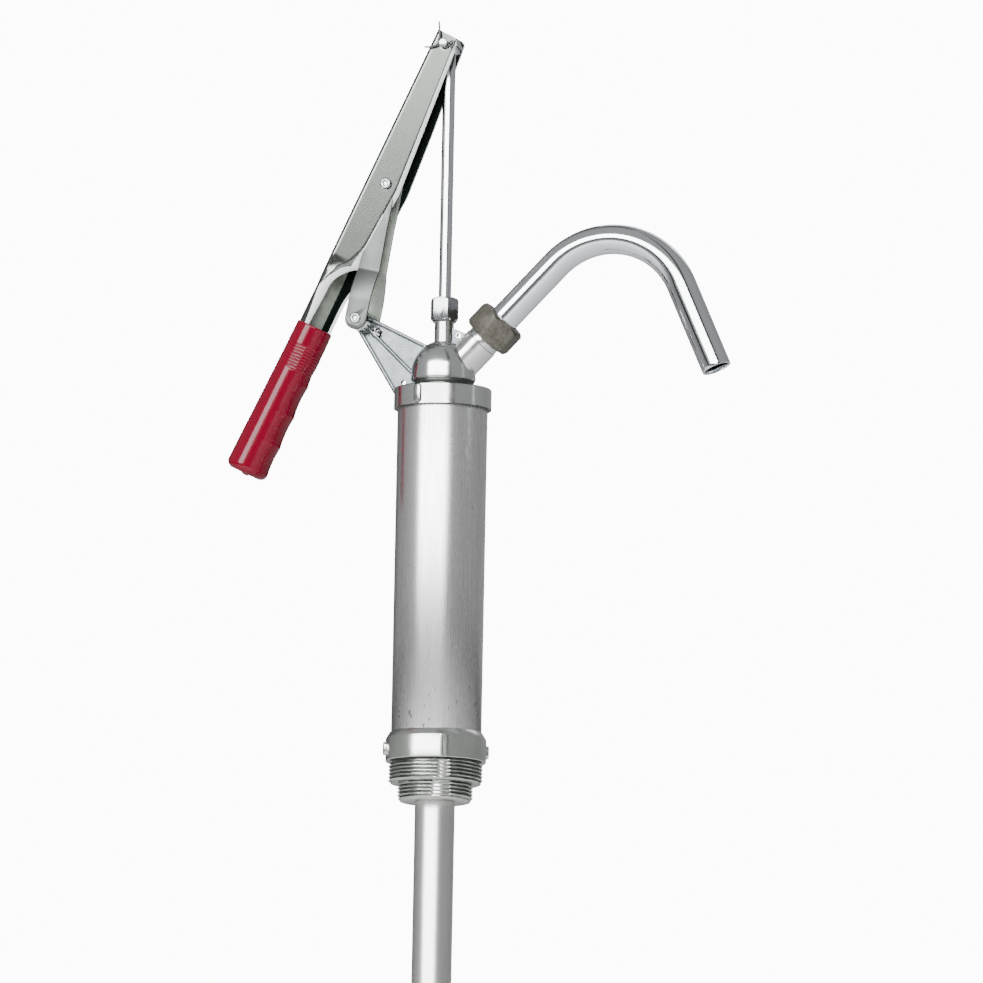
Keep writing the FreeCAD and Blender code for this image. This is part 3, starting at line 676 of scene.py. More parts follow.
class Palette:
    """The finishes of the pump, each built once when it is first asked for."""

    FINISHES = (
        Finish("polished_chrome", (0.84, 0.87, 0.90), (0.78, 0.81, 0.84), (0.06, 0.10),
               grain_size=4 * MM, relief=0.001 * MM),
        Finish("bright_plated_casting", (0.80, 0.81, 0.81), (0.72, 0.73, 0.73), (0.14, 0.24),
               grain_size=1.5 * MM, relief=0.012 * MM),
        Finish("as_cast_plated", (0.22, 0.24, 0.25), (0.13, 0.145, 0.155), (0.20, 0.30),
               grain_size=0.7 * MM, relief=0.05 * MM),
        Finish("satin_cast_adapter", (0.74, 0.77, 0.73), (0.58, 0.61, 0.57), (0.17, 0.27),
               grain_size=0.6 * MM, relief=0.02 * MM),
        # Painted shade: dark tone for thread roots, the undercut, the seam's sides, the skirt-lug
        # grooves and the neck band.
        Finish("painted_recess_shade", (0.14, 0.15, 0.14), (0.07, 0.08, 0.07), (0.35, 0.50),
               grain_size=0.6 * MM, relief=0.02 * MM),
        ScuffedFinish("drawn_cylinder", (0.93, 0.93, 0.93), (0.70, 0.70, 0.70), (0.22, 0.32),
                      grain=Grain.LENGTHWISE, grain_size=0.9 * MM, relief=0.006 * MM),
        Finish("drawn_suction_tube", (0.82, 0.82, 0.82), (0.72, 0.72, 0.71), (0.28, 0.36),
               grain=Grain.LENGTHWISE, grain_size=1.0 * MM, relief=0.006 * MM),
        Finish("zinc_plated_sheet", (0.21, 0.23, 0.21), (0.165, 0.18, 0.165), (0.14, 0.19),
               grain_size=0.5 * MM, relief=0.002 * MM),
        # Painted highlight: pale matt white for the lever's rolled rim and cut edges and the head's
        # gate mark.
        Finish("painted_highlight_edge", (0.95, 0.96, 0.96), (0.90, 0.91, 0.91), (0.35, 0.45),
               metallic=0.0, grain_size=2 * MM, relief=0.002 * MM),
        Finish("shadowed_inner_zinc", (0.022, 0.034, 0.028), (0.014, 0.020, 0.017), (0.45, 0.6),
               grain_size=0.6 * MM, blotch_size=7 * MM, relief=0.02 * MM),
        # Painted shade: a shade-toned zinc for the inner faces of the link plates and the lever's
        # stem.
        Finish("painted_shade_inner_zinc", (0.38, 0.42, 0.37), (0.27, 0.30, 0.26), (0.40, 0.52),
               metallic=0.25, grain_size=0.6 * MM, blotch_size=7 * MM, relief=0.004 * MM),
        Finish("brushed_link_zinc", (0.15, 0.16, 0.153), (0.12, 0.13, 0.124), (0.36, 0.44),
               grain_size=0.5 * MM, relief=0.006 * MM),
        Finish("zinc_plated_turned", (0.55, 0.57, 0.58), (0.44, 0.455, 0.46), (0.14, 0.22),
               grain_size=0.8 * MM, relief=0.008 * MM),
        Finish("sandy_union_metal", (0.20, 0.19, 0.165), (0.10, 0.097, 0.08), (0.40, 0.55),
               grain_size=0.7 * MM, blotch_size=3 * MM, relief=0.12 * MM),
        Finish("crimson_vinyl", (0.17, 0.0, 0.014), (0.155, 0.0, 0.012), (0.10, 0.14),
               metallic=0.0, grain_size=3 * MM, relief=0.001 * MM, shine=0.36),
        Finish("black_rubber_seal", (0.020, 0.020, 0.021), (0.035, 0.035, 0.035), (0.55, 0.75),
               metallic=0.0, relief=0.04 * MM),
        Finish("black_polyethylene", (0.030, 0.031, 0.034), (0.045, 0.046, 0.05), (0.38, 0.5),
               metallic=0.0, relief=0.03 * MM),
        Finish("natural_acetal", (0.78, 0.76, 0.70), (0.72, 0.70, 0.64), (0.35, 0.45),
               metallic=0.0, relief=0.01 * MM),
        Finish("dark_steel_wire", (0.10, 0.10, 0.10), (0.06, 0.06, 0.06), (0.25, 0.36),
               relief=0.01 * MM),
    )

    def __init__(self) -> None:
        """Start with nothing built."""
        self._finishes = {finish.name: finish for finish in self.FINISHES}
        self._built: dict[str, bpy.types.Material] = {}

    def material(self, name: str) -> bpy.types.Material:
        """Return the material of a finish, building it if needed.

        Args:
            name: Name of the finish.

        Returns:
            Its material.
        """
        if name not in self._built:
            self._built[name] = self._finishes[name].build()
        return self._built[name]

    def dress(self, piece: Object, *names: str) -> Object:
        """Give a piece its finishes, one to each of the slots its faces already use.

        Args:
            piece: The piece to dress.
            names: The finishes, in the order of the face slots.

        Returns:
            The same piece.
        """
        slots = [face.material_index for face in piece.data.polygons]
        piece.data.materials.clear()
        for name in names:
            piece.data.materials.append(self.material(name))
        for face, slot in zip(piece.data.polygons, slots):
            face.material_index = slot if slot < len(names) else 0
        return piece


# ------------------------------------------------------------------ the pump's assemblies

@dataclass
class Assembly:
    """A part of the pump that builds its pieces and puts each on its body."""

    palette: Palette
    body: str

    def fit(self, piece: Object, finishes: str | Sequence[str], slot: str, *nodes: str,
            body: str | None = None) -> Object:
        """Dress a finished piece and let it stand for CAD nodes.

        Args:
            piece: The finished piece.
            finishes: Name of its finish, or several for its material slots.
            slot: The record's material slot; not used.
            *nodes: CAD nodes that it stands for.
            body: The body it rides on, if not the assembly's own.

        Returns:
            The piece.
        """
        names = [finishes] if isinstance(finishes, str) else list(finishes)
        self.palette.dress(piece, *names)
        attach(piece, body or self.body)
        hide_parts(*nodes)
        LOG.info("%s: %d faces", piece.name, len(piece.data.polygons))
        return piece

    def keep(self, frame: dict, finish: str, *nodes: str) -> None:
        """Give CAD nodes that stay a finish.

        Args:
            finish: Name of the finish.
            nodes: Names of the CAD nodes.
        """
        for node in nodes:
            self.palette.dress(frame["nodes"][node], finish)


@dataclass
class BungAdapter(Assembly):
    """Threaded adapter with its stepped threads, collar and spanner lugs."""

    drum_radius: float = 29.8 * MM
    drum_length: float = 13.7 * MM
    small_radius: float = 23.9 * MM
    collar_radius: float = 31.9 * MM
    lug_angle: float = math.radians(28)
    lug_size: Point = (4.5 * MM, 8.6 * MM)
    lug_proud: float = 1.9 * MM
    pitch: float = 25.4 / 11 * MM
    thread_depth: float = 1.35 * MM
    undercut: float = 2.0 * MM
    columns: int = 180
    foot: float = field(init=False)
    rim: float = field(init=False)

    def __post_init__(self) -> None:
        """Read the adapter's height from the frame."""
        low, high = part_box("bung_adapter")
        self.foot, self.rim = low[2], high[2]

    def crest(self, height: float) -> float:
        """Return the thread's major radius at a height, with the lead-in chamfers.

        Args:
            height: Height on the thread.

        Returns:
            The crest's radius there.
        """
        if height > -self.drum_length:
            lead = max(0.0, (-self.drum_length + 1.6 * MM) - height)
            return self.drum_radius - lead * 0.8
        lead = max(0.0, (self.foot + 2.6 * MM) - height)
        return self.small_radius - lead * 0.8

    def thread_radius(self, angle: float, height: float) -> float:
        """Return the radius of the threaded surface.

        Args:
            angle: Angle from -Y towards +X, in radians.
            height: Height in metres.

        Returns:
            The radius in metres.
        """
        phase = (height / self.pitch + angle / TURN) % 1.0
        wave = min(abs(phase - 0.5) * 2, 1.0)
        flank = smooth_step(0.12, 0.88, wave)
        crest = self.crest(height)
        root = (self.drum_radius if height > -self.drum_length else self.small_radius)
        root -= self.thread_depth
        cut = mix(crest, min(root, crest), flank)
        if height > -2 * MM:
            cut = mix(self.drum_radius - self.undercut, cut,
                      smooth_step(-0.9 * MM, -1.5 * MM, height))
        away = min(abs((angle - self.lug_angle + shift) % TURN - shift)
                   for shift in (math.pi,))
        strip = 0.085 if height > -self.drum_length else 0.22
        flat = 1 - smooth_step(strip, strip + 0.06, away)
        return mix(cut, min(root + 0.5 * MM, crest), flat * 0.9)

    def build(self) -> None:
        """Build the adapter and stand it in for its node."""
        rows = self._rows()
        count = len(rows) - 1

        def place(across: float, along: float) -> Vector:
            """Place one point of the turned and threaded wall."""
            angle = across * TURN
            radius, height, threaded = rows[round(along * count)]
            if threaded:
                radius = self.thread_radius(angle, height)
            return Vector((radius * math.sin(angle), -radius * math.cos(angle), height))

        piece = form_sheet("bung_adapter_body", self.columns, count, place)
        for index in range(1, 4):
            combine(piece, self._lug(self.lug_angle + index * math.pi / 2), Cut.JOIN)
        for half, proud in ((2.1 * MM, 0.45 * MM), (1.1 * MM, 1.3 * MM)):
            combine(piece, self._seam(half, proud), Cut.JOIN)
        shade(piece, 38)
        self.fit(piece, ("satin_cast_adapter", "painted_recess_shade"), "adapter_zinc", "bung_adapter")
        # Thread roots, the undercut and the sides of the seam take painted shade in slot 1.
        for face in piece.data.polygons:
            face.material_index = 1 if self._takes_painted_shade(face.center) else 0

    def _takes_painted_shade(self, spot: Vector) -> bool:
        """Tell whether a spot lies in a thread's root, the undercut or beside the seam, where shade
        is painted in.

        Args:
            spot: The middle of a face.

        Returns:
            True if the face takes the painted recess shade.
        """
        radius = math.hypot(spot.x, spot.y)
        if -1.4 * MM < spot.z < 0.0:
            return radius < self.drum_radius - 0.6 * MM
        if self.foot + 2 * MM < spot.z < 0.0:
            return radius < self.crest(spot.z) - 0.7 * self.thread_depth
        turn = math.atan2(spot.x, -spot.y) - self.lug_angle
        aside = abs(turn) * radius
        beside = self.collar_radius + 0.1 * MM < radius < self.collar_radius + 0.6 * MM
        return spot.z > 0 and beside and aside < 2.6 * MM

    def _seam(self, half: float, proud: float) -> Object:
        """Make the ragged casting seam that runs down the collar.

        Args:
            half: About half its width.
            proud: How far it stands out of the collar.

        Returns:
            A jagged upright strip.
        """
        count = 18
        low, high = 1.0 * MM, self.rim - 4.2 * MM
        right = [(half * (1 + 0.45 * math.sin(step * 2.3 + 0.7 * half / MM)),
                  mix(low, high, step / count)) for step in range(count + 1)]
        left = [(-half * (1 + 0.45 * math.sin(step * 3.1 + 1.9)), mix(high, low, step / count))
                for step in range(count + 1)]
        strip = slab("casting_seam", right + left, proud)
        round_edges(strip, 0.12 * MM, 1, 40)
        out = (Matrix.Rotation(self.lug_angle, 4, "Z")
               @ Matrix.Translation((0, -self.collar_radius, 0)))
        return settle(strip, out)

    def _rows(self) -> list[tuple[float, float, bool]]:
        """List the rows of the surface as (radius, height, threaded), round a closed section."""
        collar, step = self.collar_radius, self.pitch / 9
        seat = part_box("cylinder_tube")[0][2]
        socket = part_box("cylinder_tube")[1][0] + 0.1 * MM
        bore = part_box("suction_tube")[1][0] + 0.1 * MM
        rows = [(socket, seat, False), (socket, self.rim - 0.3 * MM, False),
                (socket + 0.3 * MM, self.rim, False), (collar - 2.8 * MM, self.rim, False),
                (collar - 2.5 * MM, self.rim - 0.2 * MM, False),
                (collar - 0.3 * MM, self.rim - 3.9 * MM, False),
                (collar, self.rim - 4.5 * MM, False), (collar, 0.5 * MM, False),
                (collar - 0.4 * MM, 0.05 * MM, False),
                (self.drum_radius - self.undercut, 0, False)]
        height = -0.1 * MM
        while height > -self.drum_length:
            rows.append((0, height, True))
            height -= step
        rows.append((self.drum_radius - 2.2 * MM, -self.drum_length, False))
        rows.append((self.small_radius - 0.9 * MM, -self.drum_length - 0.15 * MM, False))
        height = -self.drum_length - 0.4 * MM
        while height > self.foot + 0.3 * MM:
            rows.append((0, height, True))
            height -= step
        rows += [(self.small_radius - 3.0 * MM, self.foot, False),
                 (bore + 0.6 * MM, self.foot, False), (bore, self.foot + 0.6 * MM, False),
                 (bore, seat - 4 * MM, False), (socket - 4 * MM, seat, False),
                 (socket, seat, False)]
        return rows

    def _lug(self, angle: float) -> Object:
        """Make one upright spanner lug with rounded ends, at an angle from -Y towards +X.

        Args:
            angle: Its place round the collar, in radians.

        Returns:
            The lug.
        """
        half, tall = self.lug_size[0] / 2, self.lug_size[1] / 2
        middle = self.rim / 2 - 1.8 * MM
        arc = [(half * math.cos(step * math.pi / 8), half * math.sin(step * math.pi / 8))
               for step in range(9)]
        corners = [(x, middle + tall - half + z) for x, z in arc]
        corners += [(-x, middle - tall + half - z) for x, z in arc]
        lug = slab("spanner_lug", corners, self.lug_proud)
        round_edges(lug, 0.5 * MM, 3, 40)
        out = Matrix.Rotation(angle, 4, "Z") @ Matrix.Translation((0, -self.collar_radius, 0))
        return settle(lug, out)


@dataclass
class Cylinder(Assembly):
    """Cylinder tube between the adapter and the head."""

    wall: float = 1.9 * MM

    def build(self) -> None:
        """Build the tube and stand it in for its node."""
        low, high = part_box("cylinder_tube")
        tube = straight_tube("cylinder_shell", high[0], high[0] - self.wall, low[2], high[2])
        self.fit(tube, "drawn_cylinder", "drawn_aluminium", "cylinder_tube")


@dataclass
class SuctionTubes(Assembly):
    """Fixed suction tube, its sleeve, and the tube that telescopes out of it."""

    upper_bore: float = 11.3 * MM
    lower_bore: float = 9.4 * MM
    foot_bore: float = 7.8 * MM
    rib_count: int = 5

    def build(self) -> None:
        """Build both tubes, the sleeve and the foot."""
        low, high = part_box("suction_tube")
        upper = straight_tube("upper_suction_tube", high[0], self.upper_bore, low[2], high[2])
        self.fit(upper, "drawn_suction_tube", "drawn_aluminium", "suction_tube")
        low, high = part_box("lower_suction_tube")
        lower = straight_tube("telescoping_tube", high[0], self.lower_bore, low[2], high[2])
        self.fit(lower, "drawn_suction_tube", "drawn_aluminium", "lower_suction_tube",
                 body="lower_tube")
        self.fit(self._sleeve(), "black_polyethylene", "dark_plastic", "telescope_sleeve")
        self.fit(self._foot(), "black_polyethylene", "dark_plastic", "suction_foot",
                 body="lower_tube")

    def _sleeve(self) -> Object:
        """Turn the friction sleeve, with grip ribs round it."""
        low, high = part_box("telescope_sleeve")
        outer, inner = high[0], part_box("lower_suction_tube")[1][0] + 0.05 * MM
        tube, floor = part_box("suction_tube")[1][0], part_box("suction_tube")[0][2]
        pitch = (high[2] - low[2] - 5 * MM) / self.rib_count
        section = [(inner, low[2]), (outer - 1 * MM, low[2]), (outer, low[2] + 1 * MM)]
        for index in range(self.rib_count):
            start = low[2] + 2.2 * MM + index * pitch
            section += [(outer, start), (outer - 0.6 * MM, start + pitch * 0.2),
                        (outer - 0.6 * MM, start + pitch * 0.5), (outer, start + pitch * 0.7)]
        section += [(outer, high[2] - 1.5 * MM), (tube + 0.3 * MM, high[2]), (tube, high[2]),
                    (tube, floor), (inner, floor)]
        return round_edges(lathe("telescope_gland_sleeve", section), 0.2 * MM, 2, 35)

    def _foot(self) -> Object:
        """Turn the foot of the lower tube and cut its inlet notches."""
        low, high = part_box("suction_foot")
        tube_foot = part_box("lower_suction_tube")[0][2]
        outer, neck = high[0], self.lower_bore - 0.1 * MM
        foot = lathe("inlet_foot", [
            (neck, high[2]), (self.foot_bore, high[2]), (self.foot_bore, low[2]),
            (outer - 1.5 * MM, low[2]), (outer, tube_foot - 2 * MM), (outer, tube_foot),
            (neck, tube_foot)])
        for turn in (0, math.pi / 3, -math.pi / 3):
            notch = slab("notch", [(-3 * MM, low[2] - MM), (3 * MM, low[2] - MM),
                                   (3 * MM, low[2] + 3 * MM), (-3 * MM, low[2] + 3 * MM)],
                         outer + MM)
            combine(foot, settle(notch, Matrix.Rotation(turn, 4, "Z")), Cut.TAKE_AWAY)
        return round_edges(foot, 0.25 * MM, 2, 35)


@dataclass
class PumpHead(Assembly):
    """Die-cast head with its dome, gland neck, outlet stub and ribbed lever bracket."""

    axis_angle: float = math.radians(45)
    axis_height: float = 242.7 * MM
    stub_radius: float = 11.35 * MM
    dome_radius: float = 20.3 * MM
    dome_centre: float = 249.6 * MM
    neck_radius: float = 6.2 * MM
    band_radius: float = 21.7 * MM
    skirt_top: float = 238.5 * MM
    wall: float = 3.0 * MM
    boss_radius: float = 5.6 * MM
    pivot: Point = (-55.06 * MM, 284.0 * MM)
    rib_half: float = 4.4 * MM
    web_half: float = 1.5 * MM
    rib_width: float = 2.6 * MM

    def build(self) -> None:
        """Build the casting, sort its faces among its finishes, and build the gland nut."""
        head = self._turned_core()
        combine(head, self._stub(), Cut.JOIN)
        for part in (*self._bracket(), self._gusset()):
            combine(head, part, Cut.JOIN)
        for tool in self._hollows():
            combine(head, tool, Cut.TAKE_AWAY)
        round_edges(head, 0.35 * MM, 2, 38)
        self.fit(head, ("bright_plated_casting", "as_cast_plated", "painted_recess_shade",
                        "painted_highlight_edge"), "cast_zinc", "head_casting")
        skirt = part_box("cylinder_tube")[1][0] + 2.35 * MM
        for face in head.data.polygons:
            x, y, z = face.center
            # groove and neck pick faces that take painted shade: the groove round each skirt lug
            # and the neck band under the dome.
            groove = z < self.skirt_top and skirt - 1.5 * MM < math.hypot(x, y) < skirt - 0.3 * MM
            cast = math.hypot(x, y) > 21.0 * MM and x < 0 and z > self.skirt_top + 0.3 * MM
            plate = z > 262 * MM and 6.5 * MM < x < 24 * MM and abs(y) < 1.7 * MM
            # gate picks the gate mark's faces, which take a painted highlight.
            gate = y < -self.rib_half - 0.1 * MM and x < -40 * MM and z < 282 * MM
            neck = (self.skirt_top + 0.7 * MM < z < self.skirt_top + 5.3 * MM
                    and 17 * MM < math.hypot(x, y) < self.band_radius - 1.0 * MM and x > -15 * MM)
            if gate:
                face.material_index = 3
            else:
                face.material_index = 2 if groove or neck else 1 if cast or plate else 0
        self._gland()

    def to_stub(self) -> Matrix:
        """Return the turn that lays a Z axis along the outlet stub."""
        return (Matrix.Translation((0, 0, self.axis_height))
                @ Matrix.Rotation(self.axis_angle, 4, "Y"))

    def _turned_core(self) -> Object:
        """Turn the skirt, neck band, dome and gland neck as one solid."""
        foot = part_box("head_casting")[0][2]
        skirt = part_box("cylinder_tube")[1][0] + 2.35 * MM
        neck_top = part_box("gland_packing")[0][2]
        dome = [(self.dome_radius * math.cos(angle), self.dome_centre
                 + self.dome_radius * math.sin(angle))
                for angle in (math.radians(72.2) * step / 16 for step in range(17))]
        section = [(0, foot), (skirt, foot), (skirt, self.skirt_top - 0.6 * MM),
                   (skirt - 0.6 * MM, self.skirt_top),
                   (self.band_radius + 1.6 * MM, self.skirt_top),
                   (self.band_radius, self.skirt_top + 0.5 * MM),
                   (self.band_radius - 1.6 * MM, self.skirt_top + 1.8 * MM),
                   (self.band_radius - 2.3 * MM, self.skirt_top + 3.6 * MM),
                   (self.band_radius - 1.6 * MM, self.skirt_top + 5.2 * MM),
                   (self.dome_radius + 0.3 * MM, self.skirt_top + 5.9 * MM),
                   (self.dome_radius + 0.35 * MM, self.skirt_top + 6.8 * MM)]
        section += dome
        section += [(self.neck_radius, self.dome_centre + 20.6 * MM), (self.neck_radius, neck_top),
                    (0, neck_top)]
        core = lathe("head_casting_shell", section, 144)
        for angle in (math.radians(-13), math.radians(167)):
            combine(core, self._skirt_lug(angle, skirt, foot, 2.9 * MM, 0.0), Cut.TAKE_AWAY)
            combine(core, self._skirt_lug(angle, skirt, foot, 2.0 * MM, 0.6 * MM), Cut.JOIN)
        return core

    def _skirt_lug(self, angle: float, skirt: float, low: float, half: float,
                   proud: float) -> Object:
        """Make one flat oblong lug of the skirt, or the groove round it.

        Args:
            angle: Its place, from -Y towards +X, in radians.
            skirt: Radius of the skirt.
            low: Height of the skirt's foot.
            half: Half the width of the oblong.
            proud: How far it stands out of the skirt.

        Returns:
            The oblong; it also reaches half a millimetre into the skirt.
        """
        tall = half + 3.6 * MM
        middle = (low + self.skirt_top) / 2
        arc = [(half * math.cos(step * math.pi / 8), half * math.sin(step * math.pi / 8))
               for step in range(9)]
        corners = [(x, middle + tall - half + z) for x, z in arc]
        corners += [(-x, middle - tall + half - z) for x, z in arc]
        deep, out = 0.8 * MM, proud if proud else 2 * MM
        lug = slab("skirt_lug", corners, (deep + out) / 2)
        if proud:
            round_edges(lug, 0.25 * MM, 2, 40)
        step = Matrix.Translation((0, -skirt + (deep - out) / 2, 0))
        return settle(lug, Matrix.Rotation(angle, 4, "Z") @ step)

    def _stub(self) -> Object:
        """Turn the outlet stub with its threaded end."""
        reach = 39.3 * MM
        end = 47.0 * MM
        stub = lathe("outlet_stub", [
            (0, 4 * MM), (self.stub_radius, 4 * MM), (self.stub_radius, reach - 4.2 * MM),
            (self.stub_radius - 0.35 * MM, reach - 3.8 * MM), (self.stub_radius - 0.35 * MM, reach),
            (10.8 * MM, reach + 0.4 * MM), (10.8 * MM, end), (0, end)], 96)
        return settle(stub, self.to_stub())

    def _rib(self, foot: Point, tip: Point, half: float, width: float) -> Object:
        """Make one straight rib of the bracket between two points.

        Args:
            foot: Its (x, z) end on the head.
            tip: Its (x, z) end at the boss.
            half: Half its thickness along Y.
            width: Its width in the XZ plane.

        Returns:
            The rib.
        """
        run = (Vector(foot) - Vector(tip)).normalized()
        side = Vector((-run.y, run.x)) * width / 2
        corners = [Vector(tip) + side, Vector(foot) + side, Vector(foot) - side,
                   Vector(tip) - side]
        rib = slab("bracket_rib", [tuple(corner) for corner in corners], half)
        return round_edges(rib, width * 0.38, 3, 40)

    def _bracket(self) -> list[Object]:
        """Make the web, the three ribs and the pivot boss of the lever bracket."""
        pivot = self.pivot
        top, middle, low = ((-11 * MM, 265.9 * MM), (-17 * MM, 246.6 * MM),
                            (-30.2 * MM, 236.2 * MM))
        web = slab("bracket_web", [(pivot[0], pivot[1] + 2 * MM), (top[0], top[1]),
                                   (-16 * MM, 246 * MM), (-20 * MM, 237.6 * MM),
                                   (-29.5 * MM, 237.6 * MM),
                                   (pivot[0] - 2 * MM, pivot[1] - 4 * MM)],
                   self.web_half)
        lean_top = (pivot[0] + 1.5 * MM, pivot[1] + 3.3 * MM)
        lean_low = (pivot[0] - 3.0 * MM, pivot[1] - 2.2 * MM)
        parts = [web, self._rib(top, lean_top, self.rib_half, self.rib_width),
                 self._rib(middle, pivot, self.rib_half, self.rib_width),
                 self._rib(low, lean_low, self.rib_half, self.rib_width)]
        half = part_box("bracket_pivot_pin")[1][1]
        boss = cross_bar("pivot_boss", self.boss_radius, -half, half, pivot)
        flange = cross_bar("boss_flange", self.boss_radius + 1.2 * MM, -half + 4 * MM,
                           half - 4 * MM, pivot)
        return parts + [boss, flange, self._ejector_mark(-26.0 * MM, 243.5 * MM, 2.1 * MM),
                        self._gate_mark(pivot[0] + 10.5 * MM, pivot[1] - 8 * MM)]

    def _gate_mark(self, x: float, z: float) -> Object:
        """Make the rough stub that was left where the casting's gate broke off.

        Args:
            x: Its place along X.
            z: Its height.

        Returns:
            The mark.
        """
        count = 28

        def place(across: float, along: float) -> Vector:
            """Place one point of the ragged stub."""
            angle, row = across * TURN, round(along * 3)
            ragged = 1 + 0.14 * math.sin(7 * angle) + 0.06 * math.sin(11 * angle + 1)
            radius = (0.0, 2.9 * MM, 3.9 * MM, 0.0)[row] * ragged
            depth = (-0.5 * MM, 1.0 * MM, 4.6 * MM, 4.6 * MM)[row]
            lift = 0.5 * MM * math.sin(5 * angle + 2) if row == 1 else 0.0
            return Vector((radius * math.cos(angle), radius * math.sin(angle), -depth - lift))

        mark = form_sheet("gate_mark", count, 3, place)
        lift = Matrix.Translation((x, -self.rib_half - 0.4 * MM, z))
        return settle(mark, lift @ Matrix.Rotation(math.pi / 2, 4, "X"))

    def _gusset(self) -> Object:
        """Make the thin gusset between the gland neck and the outlet stub."""
        web = slab("stub_gusset", [(4 * MM, 256 * MM), (16 * MM, 256 * MM), (24 * MM, 266.5 * MM),
                                   (18.5 * MM, 272.2 * MM), (4 * MM, 278.6 * MM)], self.web_half)
        return combine(web, self._ejector_mark(10.2 * MM, 272.6 * MM, 1.9 * MM), Cut.JOIN)

    def _ejector_mark(self, x: float, z: float, radius: float) -> Object:
        """Make the raised ring that an ejector pin leaves on a web.

        Args:
            x: Its place along X.
            z: Its height.
            radius: Outer radius of the ring.

        Returns:
            The ring.
        """
        tall = self.web_half + 0.3 * MM
        ring = lathe("ejector_mark", [(radius - 0.55 * MM, -tall), (radius, -tall),
                                      (radius, tall), (radius - 0.55 * MM, tall)], 32)
        return settle(ring, Matrix.Translation((x, 0, z)) @ Matrix.Rotation(math.pi / 2, 4, "X"))

    def _hollows(self) -> list[Object]:
        """Make the tools for the tube socket, the chamber and the bores."""
        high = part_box("cylinder_tube")[1]
        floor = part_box("head_gasket")[1][2]
        socket = high[0] + 0.1 * MM
        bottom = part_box("head_casting")[0][2] - MM
        inner = self.dome_radius - self.wall
        cap = [(inner * math.cos(math.radians(angle)), self.dome_centre
                + inner * math.sin(math.radians(angle))) for angle in range(0, 80, 10)]
        chamber = lathe("head_chamber", [(0, bottom), (socket, bottom), (socket, floor),
                                         (inner, floor), *cap, (0, self.dome_centre + inner)], 96)
        passage = lathe("stub_passage", [(0, 8 * MM), (7.9 * MM, 8 * MM), (7.9 * MM, 60 * MM),
                                         (0, 60 * MM)], 64)
        rod_bore = lathe("rod_bore", [(0, self.dome_centre), (4.05 * MM, self.dome_centre),
                                      (4.05 * MM, high[2] + 80 * MM), (0, high[2] + 80 * MM)], 48)
        pin = cross_bar("pivot_bore", 2.6 * MM, -30 * MM, 30 * MM, self.pivot)
        return [chamber, settle(passage, self.to_stub()), rod_bore, pin]

    def _gland(self) -> None:
        """Make the gland nut with its chamfered ends, the turned skirt and the lip."""
        low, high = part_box("gland_nut")
        bore, wide = 4.1 * MM, self.neck_radius + 0.06 * MM
        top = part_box("gland_packing")[1][2]
        nut = hex_nut("gland_hex", high[0], low[2] + 1.0 * MM, high[2] - 0.7 * MM, bore, 0.0, 0.5)
        hollow = lathe("gland_hollow", [(0, low[2]), (wide, low[2]), (wide, top), (0, top)], 64)
        combine(nut, hollow, Cut.TAKE_AWAY)
        skirt = lathe("gland_skirt", [(wide, low[2]), (7.5 * MM, low[2]),
                                      (7.7 * MM, low[2] + 1.6 * MM), (wide, low[2] + 1.6 * MM)], 64)
        lip = lathe("gland_lip", [(bore, high[2] - 1.4 * MM), (6.9 * MM, high[2] - 1.4 * MM),
                                  (6.6 * MM, high[2]), (bore, high[2])], 64)
        nut = merge_pieces("gland_hex", [shade(nut), shade(skirt), shade(lip)])
        self.fit(nut, "zinc_plated_turned", "zinc_plate", "gland_nut")


